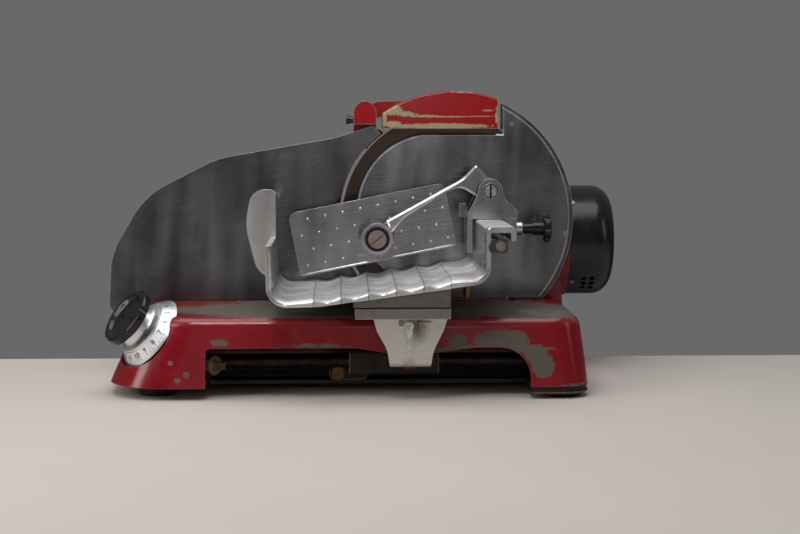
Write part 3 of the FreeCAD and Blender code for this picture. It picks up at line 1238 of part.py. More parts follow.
def build_drive():
    save("blade", blade())
    save("blade_hub", blade_hub())
    save("blade_screws", *blade_screws())
    save("spindle", spindle())
    save("worm_wheel", worm_wheel())
    save("worm", worm())
    save("rotor_shaft", rotor_shaft())
    save("rotor_core", rotor_core())
    save("fan", fan())


def build_gauge():
    save("gauge_plate", gauge_plate())
    save("gauge_bracket", gauge_bracket())
    save("gauge_rod", gauge_rod())
    save("gauge_screws", *gauge_screws())
    save("dial_skirt", dial_skirt())
    save("dial_knob", dial_knob())
    save("dial_shaft", dial_shaft())
    save("switch_knob", switch_knob())


def build_sharpener():
    save("sharpener_cover", sharpener_cover())
    save("grinding_stone", stone("grinding"))
    save("honing_stone", stone("honing"))
    save("stone_axles", *stone_axles())
    save("latch_button", latch_button())


def build_carriage():
    save("carriage_slide", carriage_slide(), *slide_bushings())
    save("guide_roller", guide_roller())
    save("support_arm", support_arm(), lever_block())
    save("carriage_bolts", *arm_bolts(), roller_bolt())
    save("lower_plate", lower_plate())
    save("clamp_lever", clamp_lever())
    save("tray", tray(), upper_plate())
    save("pusher_rod", pusher_rod(), tray_stud())


def build_pusher():
    save("saddle", saddle())
    save("pivot_screw", pivot_screw())
    save("lock_knob", lock_knob(), lock_screw())
    save("pusher_arm", pusher_arm())
    save("pusher_plate", pusher_plate(), *pusher_spikes())
    save("pusher_hub", pusher_hub(), hub_screw())


os.makedirs("parts", exist_ok=True)
build_frame()
build_drive()
build_gauge()
build_sharpener()
build_carriage()
build_pusher()
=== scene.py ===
# %% [markdown]
# # A counter food slicer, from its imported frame
# The machine is a set of castings, plates and turned parts that the frame already holds as
# solids. Blender could model everything again, but the solids are right to the millimetre,
# so this lesson keeps them, gives each a real finish, and adds what a solid model leaves
# out: the dial's numbers and ticks, rivets, a rolled edge, a nut and the marks of use.

# %% Start from the frame
import bpy
import math
from mathutils import Matrix, Vector


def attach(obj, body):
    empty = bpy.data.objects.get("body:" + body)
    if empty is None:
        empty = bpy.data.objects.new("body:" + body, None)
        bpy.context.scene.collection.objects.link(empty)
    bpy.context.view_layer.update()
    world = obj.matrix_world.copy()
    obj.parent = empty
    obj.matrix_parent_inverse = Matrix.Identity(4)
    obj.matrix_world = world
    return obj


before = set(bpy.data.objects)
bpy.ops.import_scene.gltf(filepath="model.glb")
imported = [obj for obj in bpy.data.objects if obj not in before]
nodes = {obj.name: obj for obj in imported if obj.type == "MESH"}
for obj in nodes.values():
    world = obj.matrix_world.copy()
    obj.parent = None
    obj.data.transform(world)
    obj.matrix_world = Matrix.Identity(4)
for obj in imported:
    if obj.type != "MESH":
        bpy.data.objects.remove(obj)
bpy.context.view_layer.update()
MM = 0.001


def at(x, y, z):
    """Point of the frame from millimetres measured off the knife's axis and cutting plane."""
    return Vector(((x + 104.5) * MM, (y + 35.0) * MM, z * MM))


# %% [markdown]
# ## Colours and nodes
# Colours are picked on a screen as sRGB hex values, but shaders work in linear light, so
# one function converts them. A material is a recipe of nodes, and one function adds any of
# them: it gets the kind, the inputs in their order or by name, the output to hand on, and
# the settings. An input is a plain value or another node's output. The last helper gives
# the material's main shader its inputs in the same way.

# %% Colour and node helpers
def linear(code):
    channels = [int(code[i:i + 2], 16) / 255 for i in (1, 3, 5)]
    curve = [c / 12.92 if c <= 0.04045 else ((c + 0.055) / 1.055) ** 2.4 for c in channels]
    return (*curve, 1.0)


def connect(tree, node, inputs):
    for key, value in inputs.items():
        if isinstance(value, bpy.types.NodeSocket):
            tree.links.new(value, node.inputs[key])
        else:
            node.inputs[key].default_value = value


def node_adder(tree):
    """The function that adds one node to this tree and hands back one of its outputs."""
    def add(kind, inputs=(), out=0, **settings):
        node = tree.nodes.new("ShaderNode" + kind)
        for key, value in settings.items():
            setattr(node, key, value)
        connect(tree, node, inputs if isinstance(inputs, dict) else dict(enumerate(inputs)))
        return node.outputs[out]
    return add


def new_finish(name):
    """An empty material, its node adder, and the point of the piece that is coloured."""
    material = bpy.data.materials.new(name)
    material.use_nodes = True
    add = node_adder(material.node_tree)
    return material, add, add("TexCoord", out="Object")


def finished_with(material, inputs):
    tree = material.node_tree
    connect(tree, tree.nodes["Principled BSDF"], inputs)
    return material


print("#808080 is", round(linear("#808080")[0], 3), "in linear light")


# %% [markdown]
# ## Patterns that several finishes share
# Wear sits on corners, so one pattern compares the true normal with a rounded one: they
# differ only near an edge. Scratches are a noise field stretched along one direction, and
# turning marks are a noise field of the distance from an axis. Blotches are plain noise
# at the size of a thumb. All of them read Object coordinates in metres, so a size in
# millimetres becomes a scale of 1000 over that size.

# %% Blotches, streaks and rings
def blotches(add, place, size_mm, detail=3.0, rough=0.55):
    inputs = {"Vector": place, "Scale": 1000 / size_mm, "Detail": detail, "Roughness": rough}
    return add("TexNoise", inputs)


def streaks(add, place, turn, along_mm, across_mm):
    """Noise in long thin strokes, turned by some degrees in the upright plane."""
    turned = add("Mapping", {"Vector": place, "Rotation": (0, math.radians(turn), 0)})
    size = (1000 / along_mm, 1000 / across_mm, 1000 / across_mm)
    drawn_out = add("Mapping", {"Vector": turned, "Scale": size})
    return add("TexNoise", {"Vector": drawn_out, "Scale": 1.0, "Detail": 2.0})


def from_axis(add, place, centre):
    """The distance from an axis that runs to the rear."""
    away = add("VectorMath", (place, centre), operation="SUBTRACT")
    flat = add("VectorMath", (away, (1.0, 0.0, 1.0)), operation="MULTIPLY")
    return add("VectorMath", (flat,), out="Value", operation="LENGTH")


def rings(add, radius, pitch_mm):
    """Turning marks: noise that changes only with the distance from the axis."""
    line = add("CombineXYZ", (radius,))
    return add("TexNoise", {"Vector": line, "Scale": 1000 / pitch_mm, "Detail": 2.0})


print("blotches of 5 mm have a scale of", 1000 / 5.0)


# %% Edges, spots, planes and relief
SHARP = 0.2 * MM
SOFT_CORNER = 0.4 * MM


def near_edge(add, radius_mm):
    rounded = add("Bevel", {"Radius": radius_mm * MM}, samples=6)
    true = add("NewGeometry", out="Normal")
    same = add("VectorMath", (rounded, true), out="Value", operation="DOT_PRODUCT")
    return add("MapRange", (same, 1.0, 0.93))


def around_spot(add, place, spot, reach):
    """Full at a spot and nothing at its reach, which differs along the three axes."""
    away = add("VectorMath", (place, spot), operation="SUBTRACT")
    scaled = add("VectorMath", (away, reach), operation="DIVIDE")
    length = add("VectorMath", (scaled,), out="Value", operation="LENGTH")
    return add("MapRange", (length, 1.0, 0.25))


def past_plane(add, place, point, normal, blur):
    """Nothing on the near side of a plane and full on the far side."""
    away = add("VectorMath", (place, point), operation="SUBTRACT")
    side = add("VectorMath", (away, normal), out="Value", operation="DOT_PRODUCT")
    return add("MapRange", (side, 0.0, blur))


def bumped(add, height, strength, depth_mm):
    """Relief over corners that look a little rounded."""
    rounded = add("Bevel", {"Radius": SOFT_CORNER}, samples=4)
    inputs = {"Height": height, "Strength": strength, "Distance": depth_mm * MM, "Normal": rounded}
    return add("Bump", inputs)


print("corners rounded by", round(SOFT_CORNER / MM, 2), "mm, borders", round(SHARP / MM, 2), "mm wide")


# %% [markdown]
# ## Red enamel on cast aluminium
# The castings are sprayed with a deep red stoving enamel over a pale grey primer. Decades
# of wiping and knocks have taken it off in patches: primer shows where it is thin, and
# bare metal on the corners. A texture painted by hand could do this, but a mask built
# from noise, edges and a few named spots stays sharp at any distance. Grit of 5 mm,
# clouds of 38 mm and specks of 1.6 mm make the borders ragged. Enamel is a dielectric
# with a roughness of 0.13 to 0.26 that has gone slightly hazy.

# %% Red enamel
PRIMER_AT = (1.12, 1.15)
METAL_AT = (2.00, 2.08)
FLECK_AT = (0.86, 0.88)


def red_enamel(name, spots, corner_wear=0.5, primer_tones=("#625D52", "#454037"),
               reds=("#6C0612", "#900D1C"), specular=0.5):
    material, add, place = new_finish(name)
    grit = blotches(add, place, 5.0, 8.0, 0.75)
    cloud = blotches(add, place, 38.0, 4.0)
    speckle = blotches(add, place, 1.6, 4.0, 0.7)
    # Corners wear first, then each named spot. The three noises are added on top.
    wear = add("Math", (near_edge(add, 1.6), corner_wear), operation="MULTIPLY")
    for spot, reach, strength in spots:
        patch = add("Math", (around_spot(add, place, spot, reach), strength), operation="MULTIPLY")
        wear = add("Math", (wear, patch), operation="MAXIMUM")
    wear = add("Math", (grit, 0.95, wear), operation="MULTIPLY_ADD")
    wear = add("Math", (cloud, 0.45, wear), operation="MULTIPLY_ADD")
    wear = add("Math", (add("Math", (speckle, 0.5), operation="SUBTRACT"), 0.5, wear),
               operation="MULTIPLY_ADD")
    # The first level shows primer and the second bare metal. Small flecks chip anywhere.
    chipped = add("MapRange", (wear, *PRIMER_AT))
    deepest = add("Math", (speckle, 0.35, wear), operation="MULTIPLY_ADD")
    bare = add("Math", (add("MapRange", (deepest, *METAL_AT)), 0.5), operation="MULTIPLY")
    knocks = add("Math", (cloud, 0.5), operation="MULTIPLY")
    knocks = add("Math", (speckle, 0.8, knocks), operation="MULTIPLY_ADD")
    fleck = add("Math", (add("MapRange", (knocks, *FLECK_AT)), 0.55), operation="MULTIPLY")
    chipped = add("Math", (chipped, fleck), operation="MAXIMUM")
    # The coat varies between two reds, with a brown haze where the grit is coarse.
    two_reds = {0: cloud, 6: linear(reds[0]), 7: linear(reds[1])}
    coat = add("Mix", two_reds, out=2, data_type="RGBA")
    hazy = {0: add("MapRange", (grit, 0.5, 0.8)), 6: coat, 7: linear("#640A14")}
    coat = add("Mix", hazy, out=2, data_type="RGBA")
    two_primers = {0: speckle, 6: linear(primer_tones[0]), 7: linear(primer_tones[1])}
    primer = add("Mix", two_primers, out=2, data_type="RGBA")
    colour = add("Mix", {0: chipped, 6: coat, 7: primer}, out=2, data_type="RGBA")
    colour = add("Mix", {0: bare, 6: colour, 7: linear("#B5B2AC")}, out=2, data_type="RGBA")
    dull = add("Math", (chipped, 0.62), operation="MULTIPLY")
    gloss = add("MapRange", (cloud, 0.3, 0.75, 0.13, 0.26))
    orange_peel = add("Math", (grit, 0.12), operation="MULTIPLY")
    height = add("Math", (orange_peel, chipped), operation="SUBTRACT")
    return finished_with(material, {
        "Base Color": colour,
        "Metallic": bare,
        "Roughness": add("Math", (gloss, dull), operation="MAXIMUM"),
        "Specular IOR Level": specular,
        "Normal": bumped(add, height, 0.5, 0.25),
    })


print("enamel wears to primer at", PRIMER_AT[0], "and to metal at", METAL_AT[0])


# %% [markdown]
# ## Polished aluminium, wiped for years
# Trays, plates and arms are aluminium that was ground, then polished. The eye reads it
# from two things: a mirror that is blurred by fine parallel grinding marks, and single
# deeper scratches that cross it at any angle. Dull stains raise the roughness where the
# food's juices dried, and a pale painted highlight runs along the edges. An image of brushed
# metal would repeat and stretch, so the marks are noise, drawn a little coarser than real ones to show.

# %% Polished aluminium
CUTS = ((23, 0.9), (-37, 1.1), (71, 0.8), (-12, 1.3))
CUT_AT = (0.76, 0.785)


def polish(add, place, shine, dull, rough, grain=0.0, stain=0.0, edge_mm=0.8):
    """The shader inputs of polished metal; a piece with marks of its own changes them."""
    fine = streaks(add, place, grain, 55.0, 0.45)
    coarse = streaks(add, place, grain + 4, 120.0, 1.6)
    cloud = blotches(add, place, 60.0, 5.0)
    spots = blotches(add, place, 7.0, 6.0, 0.7)
    # Single deep scratches: the peaks of four strokes at different angles.
    cuts = 0.0
    for turn, width in CUTS:
        line = add("MapRange", (streaks(add, place, turn, 60.0, width), *CUT_AT))
        cuts = add("Math", (cuts, line), operation="MAXIMUM")
    # Broad upright smears and clouds between the shiny and the dull tone.
    smear = add("Math", (streaks(add, place, 86, 260.0, 34.0), 0.65), operation="MULTIPLY")
    tone = add("MapRange", (add("Math", (cloud, 0.35, smear), operation="MULTIPLY_ADD"), 0.38, 0.62))
    colour = add("Mix", {0: tone, 6: linear(shine), 7: linear(dull)}, out=2, data_type="RGBA")
    # Dried juices darken the metal and make it rougher.
    juice = add("Math", (spots, 0.4), operation="MULTIPLY")
    juice = add("Math", (cloud, 0.7, juice), operation="MULTIPLY_ADD")
    juice = add("MapRange", (juice, 0.66 - stain, 0.72 - stain))
    stained = {0: add("Math", (juice, 0.35), operation="MULTIPLY"), 6: colour, 7: linear("#5B5752")}
    colour = add("Mix", stained, out=2, data_type="RGBA")
    cut = {0: add("Math", (cuts, 0.5), operation="MULTIPLY"), 6: colour, 7: linear("#DADADB")}
    colour = add("Mix", cut, out=2, data_type="RGBA")
    gloss = add("MapRange", (fine, 0.3, 0.7, rough[0], rough[1]))
    # Edges get a painted highlight: a pale colour that mirrors less, so that it shows from every side.
    rim = add("Math", (near_edge(add, edge_mm), 0.8), operation="MULTIPLY")
    height = add("Math", (add("Math", (coarse, 0.4), operation="MULTIPLY"), cuts), operation="SUBTRACT")
    height = add("Math", (fine, 0.35, height), operation="MULTIPLY_ADD")
    return {
        "Base Color": add("Mix", {0: rim, 6: colour, 7: linear("#F2F2F2")}, out=2, data_type="RGBA"),
        "Metallic": add("Math", (rim, -0.6, 1.0), operation="MULTIPLY_ADD"),
        "Roughness": add("Math", (juice, 0.14, gloss), operation="MULTIPLY_ADD"),
        "Normal": bumped(add, height, 0.08, 0.05),
    }


def polished_aluminium(name, shine, dull, rough, grain, stain=0.0, edge_mm=0.8):
    material, add, place = new_finish(name)
    return finished_with(material, polish(add, place, shine, dull, rough, grain, stain, edge_mm))


print("scratches lie at", [turn for turn, width in CUTS], "degrees")


# %% [markdown]
# ## The tray's own marks
# The tray is polished inside and left as cast below. Its floor has five flutes that let
# the food slide, with painted shade along the creases between them, and years of washing have dulled
# every face that looks up. The rail's square recess gets a painted shadow. The solid
# has the flutes' wave, and a bump deepens it, because a sharp crease is too fine for it.

# %% Polished and fluted tray
FLUTE_START = at(-170.7, 0, 0).x
FLUTE_PITCH = 32.6 * MM
FLUTE_COUNT = 5.0
FLUTE_REAR = at(0, -40, 0).y
TRAY_UNDERSIDE = (at(-165, 0, 117.6), (0.135, 0.0, -0.991))
RAIL_RECESS = (at(50, -240, 188), (0.0155, 0.02, 0.0115))


def flute_shape(add, place, raw):
    """The crease between two flutes, and how hollow the flute is, both on the tray's floor."""
    along = add("Math", (add("SeparateXYZ", (place,), out=0), FLUTE_START), operation="SUBTRACT")
    along = add("Math", (along, FLUTE_PITCH), operation="DIVIDE")
    floor = add("MapRange", (along, -0.02, 0.0))
    right_end = add("MapRange", (along, FLUTE_COUNT + 0.02, FLUTE_COUNT))
    floor = add("Math", (floor, right_end), operation="MULTIPLY")
    rear_end = add("MapRange", (add("SeparateXYZ", (place,), out=1), FLUTE_REAR, FLUTE_REAR - 0.003))
    floor = add("Math", (floor, rear_end), operation="MULTIPLY")
    floor = add("Math", (floor, add("Math", (1.0, raw), operation="SUBTRACT")), operation="MULTIPLY")
    part = add("Math", (along,), operation="FRACT")
    rest = add("Math", (1.0, part), operation="SUBTRACT")
    hollow = add("Math", (part, rest), operation="MULTIPLY")
    hollow = add("Math", (hollow, 4.0), operation="MULTIPLY")
    crease = add("Math", (add("MapRange", (hollow, 0.14, 0.04)), floor), operation="MULTIPLY")
    return crease, add("Math", (hollow, floor), operation="MULTIPLY")


def polished_tray(name, shine, dull, rough, grain):
    material, add, place = new_finish(name)
    look = polish(add, place, shine, dull, rough, grain)
    raw = past_plane(add, place, *TRAY_UNDERSIDE, 0.0004)
    up = add("SeparateXYZ", (add("NewGeometry", out="Normal"),), out=2)
    washed = add("MapRange", (up, 0.3, 0.8))
    gloss = add("Math", (washed, 0.22, look["Roughness"]), operation="MULTIPLY_ADD")
    crease, hollow = flute_shape(add, place, raw)
    # Painted shade: the creases between the flutes are darkened.
    painted_shade = {0: add("Math", (crease, 0.62), operation="MULTIPLY"), 6: look["Base Color"],
            7: linear("#3F3B36")}
    colour = add("Mix", painted_shade, out=2, data_type="RGBA")
    # Below, the casting's grey skin.
    skin = {0: blotches(add, place, 7.0, 6.0, 0.7), 6: linear("#7C7A74"), 7: linear("#55524A")}
    below = {0: raw, 6: colour, 7: add("Mix", skin, out=2, data_type="RGBA")}
    colour = add("Mix", below, out=2, data_type="RGBA")
    # Painted shadow: the rail's recess is darkened.
    shade = add("MapRange", (around_spot(add, place, *RAIL_RECESS), 0.02, 0.10))
    shaded = {0: add("Math", (shade, 0.85), operation="MULTIPLY"), 6: colour, 7: linear("#2A2825")}
    waves = {"Height": hollow, "Strength": 1.0, "Distance": 3.2 * MM, "Normal": look["Normal"]}
    cast_dull = add("Math", (raw, 0.5), operation="MULTIPLY")
    return finished_with(material, {
        "Base Color": add("Mix", shaded, out=2, data_type="RGBA"),
        "Metallic": add("Math", (washed, -0.35, 0.9), operation="MULTIPLY_ADD"),
        "Roughness": add("Math", (gloss, cast_dull), operation="MAXIMUM"),
        "Normal": add("Bump", waves, invert=True),
    })


print("flutes:", FLUTE_COUNT, "of", round(FLUTE_PITCH / MM, 1), "mm, from x", round(FLUTE_START, 4))


# %% [markdown]
# ## The pusher's hub
# A black washer and a rusted screw head are let into the hub's polished front. They are
# flush with it, so they are two discs of colour: one mask says what lies in front of the
# hub's shoulder, the other how far from the axis a point is.

# %% Hub with washer and screw
HUB_AXIS = at(-92, 0, 187)
HUB_FRONT = at(0, -95.9, 0).y
WASHER_RADIUS = 16.5 * MM
HEAD_RADIUS = 11.7 * MM
RIM = 0.3 * MM


def polished_hub(name, shine, dull, rough, grain):
    material, add, place = new_finish(name)
    look = polish(add, place, shine, dull, rough, grain)
    radius = from_axis(add, place, HUB_AXIS)
    depth = add("SeparateXYZ", (place,), out=1)
    ahead = add("MapRange", (depth, HUB_FRONT, HUB_FRONT - SHARP))
    washer = add("MapRange", (radius, WASHER_RADIUS, WASHER_RADIUS - RIM))
    washer = add("Math", (ahead, washer), operation="MULTIPLY")
    head = add("MapRange", (radius, HEAD_RADIUS, HEAD_RADIUS - RIM))
    head = add("Math", (ahead, head), operation="MULTIPLY")
    black = {0: washer, 6: look["Base Color"], 7: linear("#141312")}
    colour = add("Mix", black, out=2, data_type="RGBA")
    rust = {0: blotches(add, place, 7.0, 6.0, 0.7), 6: linear("#A39288"), 7: linear("#5F4A40")}
    rusted = {0: head, 6: colour, 7: add("Mix", rust, out=2, data_type="RGBA")}
    dull_washer = add("Math", (washer, 0.36), operation="MULTIPLY")
    return finished_with(material, {
        "Base Color": add("Mix", rusted, out=2, data_type="RGBA"),
        "Metallic": add("Math", (washer, -0.7, 1.0), operation="MULTIPLY_ADD"),
        "Roughness": add("Math", (look["Roughness"], dull_washer), operation="MAXIMUM"),
        "Normal": look["Normal"],
    })


print("washer", round(2 * WASHER_RADIUS / MM, 1), "mm and screw head", round(2 * HEAD_RADIUS / MM, 1))


# %% [markdown]
# ## Sand-cast aluminium
# Brackets under the tray were only fettled, not polished. The skin of a sand casting has
# a soft pebble of about a millimetre, and grease has settled in it as brown stains. A dark
# spot is painted where the lever's shadow falls on its bracket, and a near black band above
# one height is painted as the shade in the gap between two castings.

# %% Cast aluminium
PEBBLE_MM = 1.4


def cast_aluminium(name, pale="#B3B1AB", stain="#6E5F4C", rough=0.42, shaded_gap_height=None, lever_shadow=None):
    material, add, place = new_finish(name)
    cloud = blotches(add, place, 22.0, 5.0, 0.65)
    grease = add("MapRange", (cloud, 0.52, 0.72))
    crumbs = add("MapRange", (blotches(add, place, 3.0, 6.0, 0.75), 0.56, 0.64))
    dirty = add("Math", (crumbs, 0.5, grease), operation="MULTIPLY_ADD")
    dirty = add("Math", (dirty, 0.55), operation="MULTIPLY")
    colour = add("Mix", {0: dirty, 6: linear(pale), 7: linear(stain)}, out=2, data_type="RGBA")
    rim = add("Math", (near_edge(add, 1.2), 0.7), operation="MULTIPLY")
    colour = add("Mix", {0: rim, 6: colour, 7: linear("#CFCFCD")}, out=2, data_type="RGBA")
    # Painted shadow: a dark spot where the lever's shadow falls on the bracket.
    if lever_shadow:
        spot = add("Math", (around_spot(add, place, *lever_shadow), 0.8), operation="MULTIPLY")
        colour = add("Mix", {0: spot, 6: colour, 7: linear("#4E473D")}, out=2, data_type="RGBA")
    # Painted shade: near black above one height, standing for the shaded gap over the casting.
    if shaded_gap_height:
        above = add("MapRange", (add("SeparateXYZ", (place,), out=2), shaded_gap_height - SHARP, shaded_gap_height))
        colour = add("Mix", {0: above, 6: colour, 7: linear("#14110E")}, out=2, data_type="RGBA")
    return finished_with(material, {
        "Base Color": colour,
        "Metallic": 0.9,
        "Roughness": add("MapRange", (cloud, 0.3, 0.7, rough, rough + 0.18)),
        "Normal": bumped(add, blotches(add, place, PEBBLE_MM, 3.0), 0.35, 0.15),
    })


print("pebbles of the cast skin:", PEBBLE_MM, "mm")


# %% [markdown]
# ## Turned and ground steel
# Screws, pins and rods are steel cut on a lathe, and a little rust has settled on most of
# them: it takes the shine away and adds pits. Their marks are fine strokes, which reads as
# turning on such small pieces. The pivot screw also needs its slot and the groove round its
# head, as a line and a ring of painted shade.

# %% Turned steel
SLOT_HALF = 1.2 * MM
INNER_GROOVE = 8.0 * MM
OUTER_GROOVE = 9.2 * MM


def slot_and_groove(add, place, centre):
    """The screw's slot, and the groove round its head."""
    across = add("Math", (add("SeparateXYZ", (place,), out=0), centre[0]), operation="SUBTRACT")
    across = add("Math", (across,), operation="ABSOLUTE")
    radius = from_axis(add, place, centre)
    slot = add("MapRange", (across, SLOT_HALF, SLOT_HALF - SHARP))
    inside = add("MapRange", (radius, INNER_GROOVE, INNER_GROOVE - SHARP))
    slot = add("Math", (slot, inside), operation="MULTIPLY")
    groove = add("MapRange", (radius, INNER_GROOVE - SHARP, INNER_GROOVE))
    inside = add("MapRange", (radius, OUTER_GROOVE, OUTER_GROOVE - SHARP))
    groove = add("Math", (groove, inside), operation="MULTIPLY")
    return add("Math", (slot, groove), operation="MAXIMUM")


def turned_steel(name, bright="#B4B3B1", dark="#76736F", rough=0.30, rust=0.0, slot=None):
    material, add, place = new_finish(name)
    marks = streaks(add, place, 0, 9.0, 0.5)
    cloud = blotches(add, place, 9.0, 5.0, 0.65)
    pits = blotches(add, place, 1.2, 4.0, 0.7)
    clean = {0: add("MapRange", (cloud, 0.3, 0.7)), 6: linear(bright), 7: linear(dark)}
    rusty = add("Math", (pits, 0.5), operation="MULTIPLY")
    rusty = add("Math", (cloud, 0.6, rusty), operation="MULTIPLY_ADD")
    rusty = add("MapRange", (rusty, 0.72 - rust, 0.80 - rust))
    brown = {0: pits, 6: linear("#3E2214"), 7: linear("#7A4526")}
    both = {0: rusty, 6: add("Mix", clean, out=2, data_type="RGBA"),
            7: add("Mix", brown, out=2, data_type="RGBA")}
    colour = add("Mix", both, out=2, data_type="RGBA")
    if slot:
        # Painted shade: the slot and the groove round the head are darkened.
        painted_shade = {0: slot_and_groove(add, place, slot), 6: colour, 7: linear("#1B1816")}
        colour = add("Mix", painted_shade, out=2, data_type="RGBA")
    gloss = add("MapRange", (marks, 0.3, 0.7, rough - 0.06, rough + 0.12))
    height = add("Math", (rusty, pits), operation="MULTIPLY")
    height = add("Math", (marks, 0.3, height), operation="MULTIPLY_ADD")
    return finished_with(material, {
        "Base Color": colour,
        "Metallic": add("Math", (1.0, rusty), operation="SUBTRACT"),
        "Roughness": add("Math", (rusty, 0.35, gloss), operation="MULTIPLY_ADD"),
        "Normal": bumped(add, height, 0.3, 0.12),
    })


print("slot", round(2 * SLOT_HALF / MM, 1), "mm wide, groove", round(INNER_GROOVE / MM, 1), "mm out")


# %% [markdown]
# ## The knife
# The knife is high-carbon steel that has darkened to brown with use. Its grinder ran round
# the knife's own axis, so the marks are rings. Only the last millimetres, the bevel that
# the stones touch up, stay bright.

# %% Knife steel
KNIFE_CENTRE = at(0, 0, 209.4)
BEVEL_START = 135.5 * MM
BEVEL_CLEAN = 136.2 * MM


def knife_steel(name):
    material, add, place = new_finish(name)
    radius = from_axis(add, place, KNIFE_CENTRE)
    ring = rings(add, radius, 0.5)
    patina = {0: blotches(add, place, 30.0, 5.0), 6: linear("#4A3E3A"), 7: linear("#5D514B")}
    bevel = add("MapRange", (radius, BEVEL_START, BEVEL_CLEAN))
    ground = {0: bevel, 6: add("Mix", patina, out=2, data_type="RGBA"), 7: linear("#B9B8B6")}
    return finished_with(material, {
        "Base Color": add("Mix", ground, out=2, data_type="RGBA"),
        "Metallic": 1.0,
        "Roughness": add("MapRange", (ring, 0.3, 0.7, 0.22, 0.42)),
        "Normal": bumped(add, ring, 0.25, 0.05),
    })


print("bright bevel from", round(BEVEL_START / MM, 1), "mm off the axis")


# %% [markdown]
# ## Black parts
# Knobs are phenolic resin pressed in a polished mould: nearly black, with a thin gloss
# that handling has scuffed at the edges. The motor's end cover is deep-drawn steel with
# black stoving enamel, which is slightly wavy. Both are the same recipe at two sizes.

# %% Black gloss
HAIRS_AT = (0.66, 0.72)


def black_gloss(name, tone="#0B0B0C", worn="#2B2A29", rough=(0.14, 0.30), wave_mm=16.0):
    material, add, place = new_finish(name)
    hairs = add("MapRange", (streaks(add, place, 31, 18.0, 0.5), *HAIRS_AT))
    hairs = add("Math", (hairs, 0.4), operation="MULTIPLY")
    scuff = add("Math", (near_edge(add, 0.9), 0.6), operation="MULTIPLY")
    scuff = add("Math", (scuff, hairs), operation="MAXIMUM")
    gloss = add("MapRange", (blotches(add, place, 14.0, 6.0, 0.65), 0.35, 0.7, rough[0], rough[1]))
    scuffed = {0: scuff, 6: linear(tone), 7: linear(worn)}
    return finished_with(material, {
        "Base Color": add("Mix", scuffed, out=2, data_type="RGBA"),
        "Roughness": add("Math", (scuff, 0.2, gloss), operation="MULTIPLY_ADD"),
        "Normal": bumped(add, blotches(add, place, wave_mm, 1.0), 0.25, 0.25),
    })


print("hair scratches start at", HAIRS_AT[0], "of the noise")


# %% [markdown]
# ## Grained materials
# Rubber, bronze, sheet and bonded grit have the same build: a grain of their own size, and
# clouds twelve times as large. Some small solids are made of two metals that meet at a
# flat joint, such as a steel washer on a brass peg, so a plane divides their colours. The
# stator is a stack of stamped plates, which a fine wave along the shaft draws.

# %% Grain, two metals and laminations
CLOUD_SIZE = 12


def grained(name, light, dark, grain_mm, rough, metal=0.0, bump_mm=0.15):
    material, add, place = new_finish(name)
    grain = blotches(add, place, grain_mm, 5.0, 0.65)
    cloud = add("Math", (blotches(add, place, grain_mm * CLOUD_SIZE, 3.0), 0.4), operation="MULTIPLY")
    tone = add("Math", (grain, 0.6, cloud), operation="MULTIPLY_ADD")
    tones = {0: add("MapRange", (tone, 0.35, 0.65)), 6: linear(light), 7: linear(dark)}
    return finished_with(material, {
        "Base Color": add("Mix", tones, out=2, data_type="RGBA"),
        "Metallic": metal,
        "Roughness": add("MapRange", (grain, 0.3, 0.7, rough - 0.07, rough + 0.1)),
        "Normal": bumped(add, grain, 0.4, bump_mm),
    })


def two_metals(name, point, normal, beyond, before):
    """One metal on the far side of a plane and another on the near side of it."""
    material, add, place = new_finish(name)
    grain = blotches(add, place, 1.4, 5.0, 0.65)
    tone = add("MapRange", (grain, 0.35, 0.65))
    near = add("Mix", {0: tone, 6: linear(before[0]), 7: linear(before[1])}, out=2, data_type="RGBA")
    far = add("Mix", {0: tone, 6: linear(beyond[0]), 7: linear(beyond[1])}, out=2, data_type="RGBA")
    both = {0: past_plane(add, place, point, normal, SHARP), 6: near, 7: far}
    return finished_with(material, {
        "Base Color": add("Mix", both, out=2, data_type="RGBA"),
        "Metallic": 0.9,
        "Roughness": add("MapRange", (grain, 0.3, 0.7, 0.26, 0.42)),
        "Normal": bumped(add, grain, 0.4, 0.1),
    })


def laminations(name, plate_mm=1.5):
    material, add, place = new_finish(name)
    turns = 2 * math.pi / (plate_mm * MM)
    along = add("Math", (add("SeparateXYZ", (place,), out=0), turns), operation="MULTIPLY")
    cloud = blotches(add, place, 12.0, 4.0)
    tones = {0: cloud, 6: linear("#4A4744"), 7: linear("#332F2C")}
    return finished_with(material, {
        "Base Color": add("Mix", tones, out=2, data_type="RGBA"),
        "Metallic": 0.8,
        "Roughness": add("MapRange", (cloud, 0.3, 0.7, 0.42, 0.55)),
        "Normal": bumped(add, add("Math", (along,), operation="SINE"), 0.4, 0.2),
    })


print("clouds are", CLOUD_SIZE, "grains wide")


# %% [markdown]
# ## Where the enamel has worn
# Each casting has its own worn places: the deck and its front edge where the tray is
# wiped, the corner of the arch, the foot rims and the lower front of the sharpener's hood.
# Wear could be left to noise alone, but then it lands where no hand ever goes. So each
# spot is set: a centre, a reach along the three axes, and how strong the wear is there.

# %% Wear on the base
deck_wear = [
    (at(-95, -115, 100), (0.350, 0.130, 0.0046), 1.25),
    (at(60, -75, 100), (0.150, 0.100, 0.008), 0.66),
    (at(-215, -40, 100), (0.170, 0.070, 0.008), 0.56),
    (at(110, -150, 100), (0.110, 0.130, 0.0046), 1.15),
    (at(-300, -100, 100), (0.060, 0.060, 0.008), 0.50),
]
arch_wear = [
    (at(58, -203, 72), (0.054, 0.03, 0.019), 0.92),
    (at(30, -203, 60), (0.100, 0.03, 0.010), 0.80),
    (at(3, -203, 72), (0.020, 0.03, 0.012), 0.80),
    (at(112, -203, 61.5), (0.016, 0.03, 0.0022), 0.80),
    (at(-1.5, -203, 75), (0.013, 0.03, 0.008), 0.72),
    (at(106, -203, 41), (0.022, 0.03, 0.021), 0.92),
    (at(97, -203, 57), (0.020, 0.03, 0.016), 0.90),
    (at(-60, -203, 62), (0.060, 0.03, 0.006), 0.56),
    (at(-170, -203, 66), (0.080, 0.03, 0.007), 0.50),
]
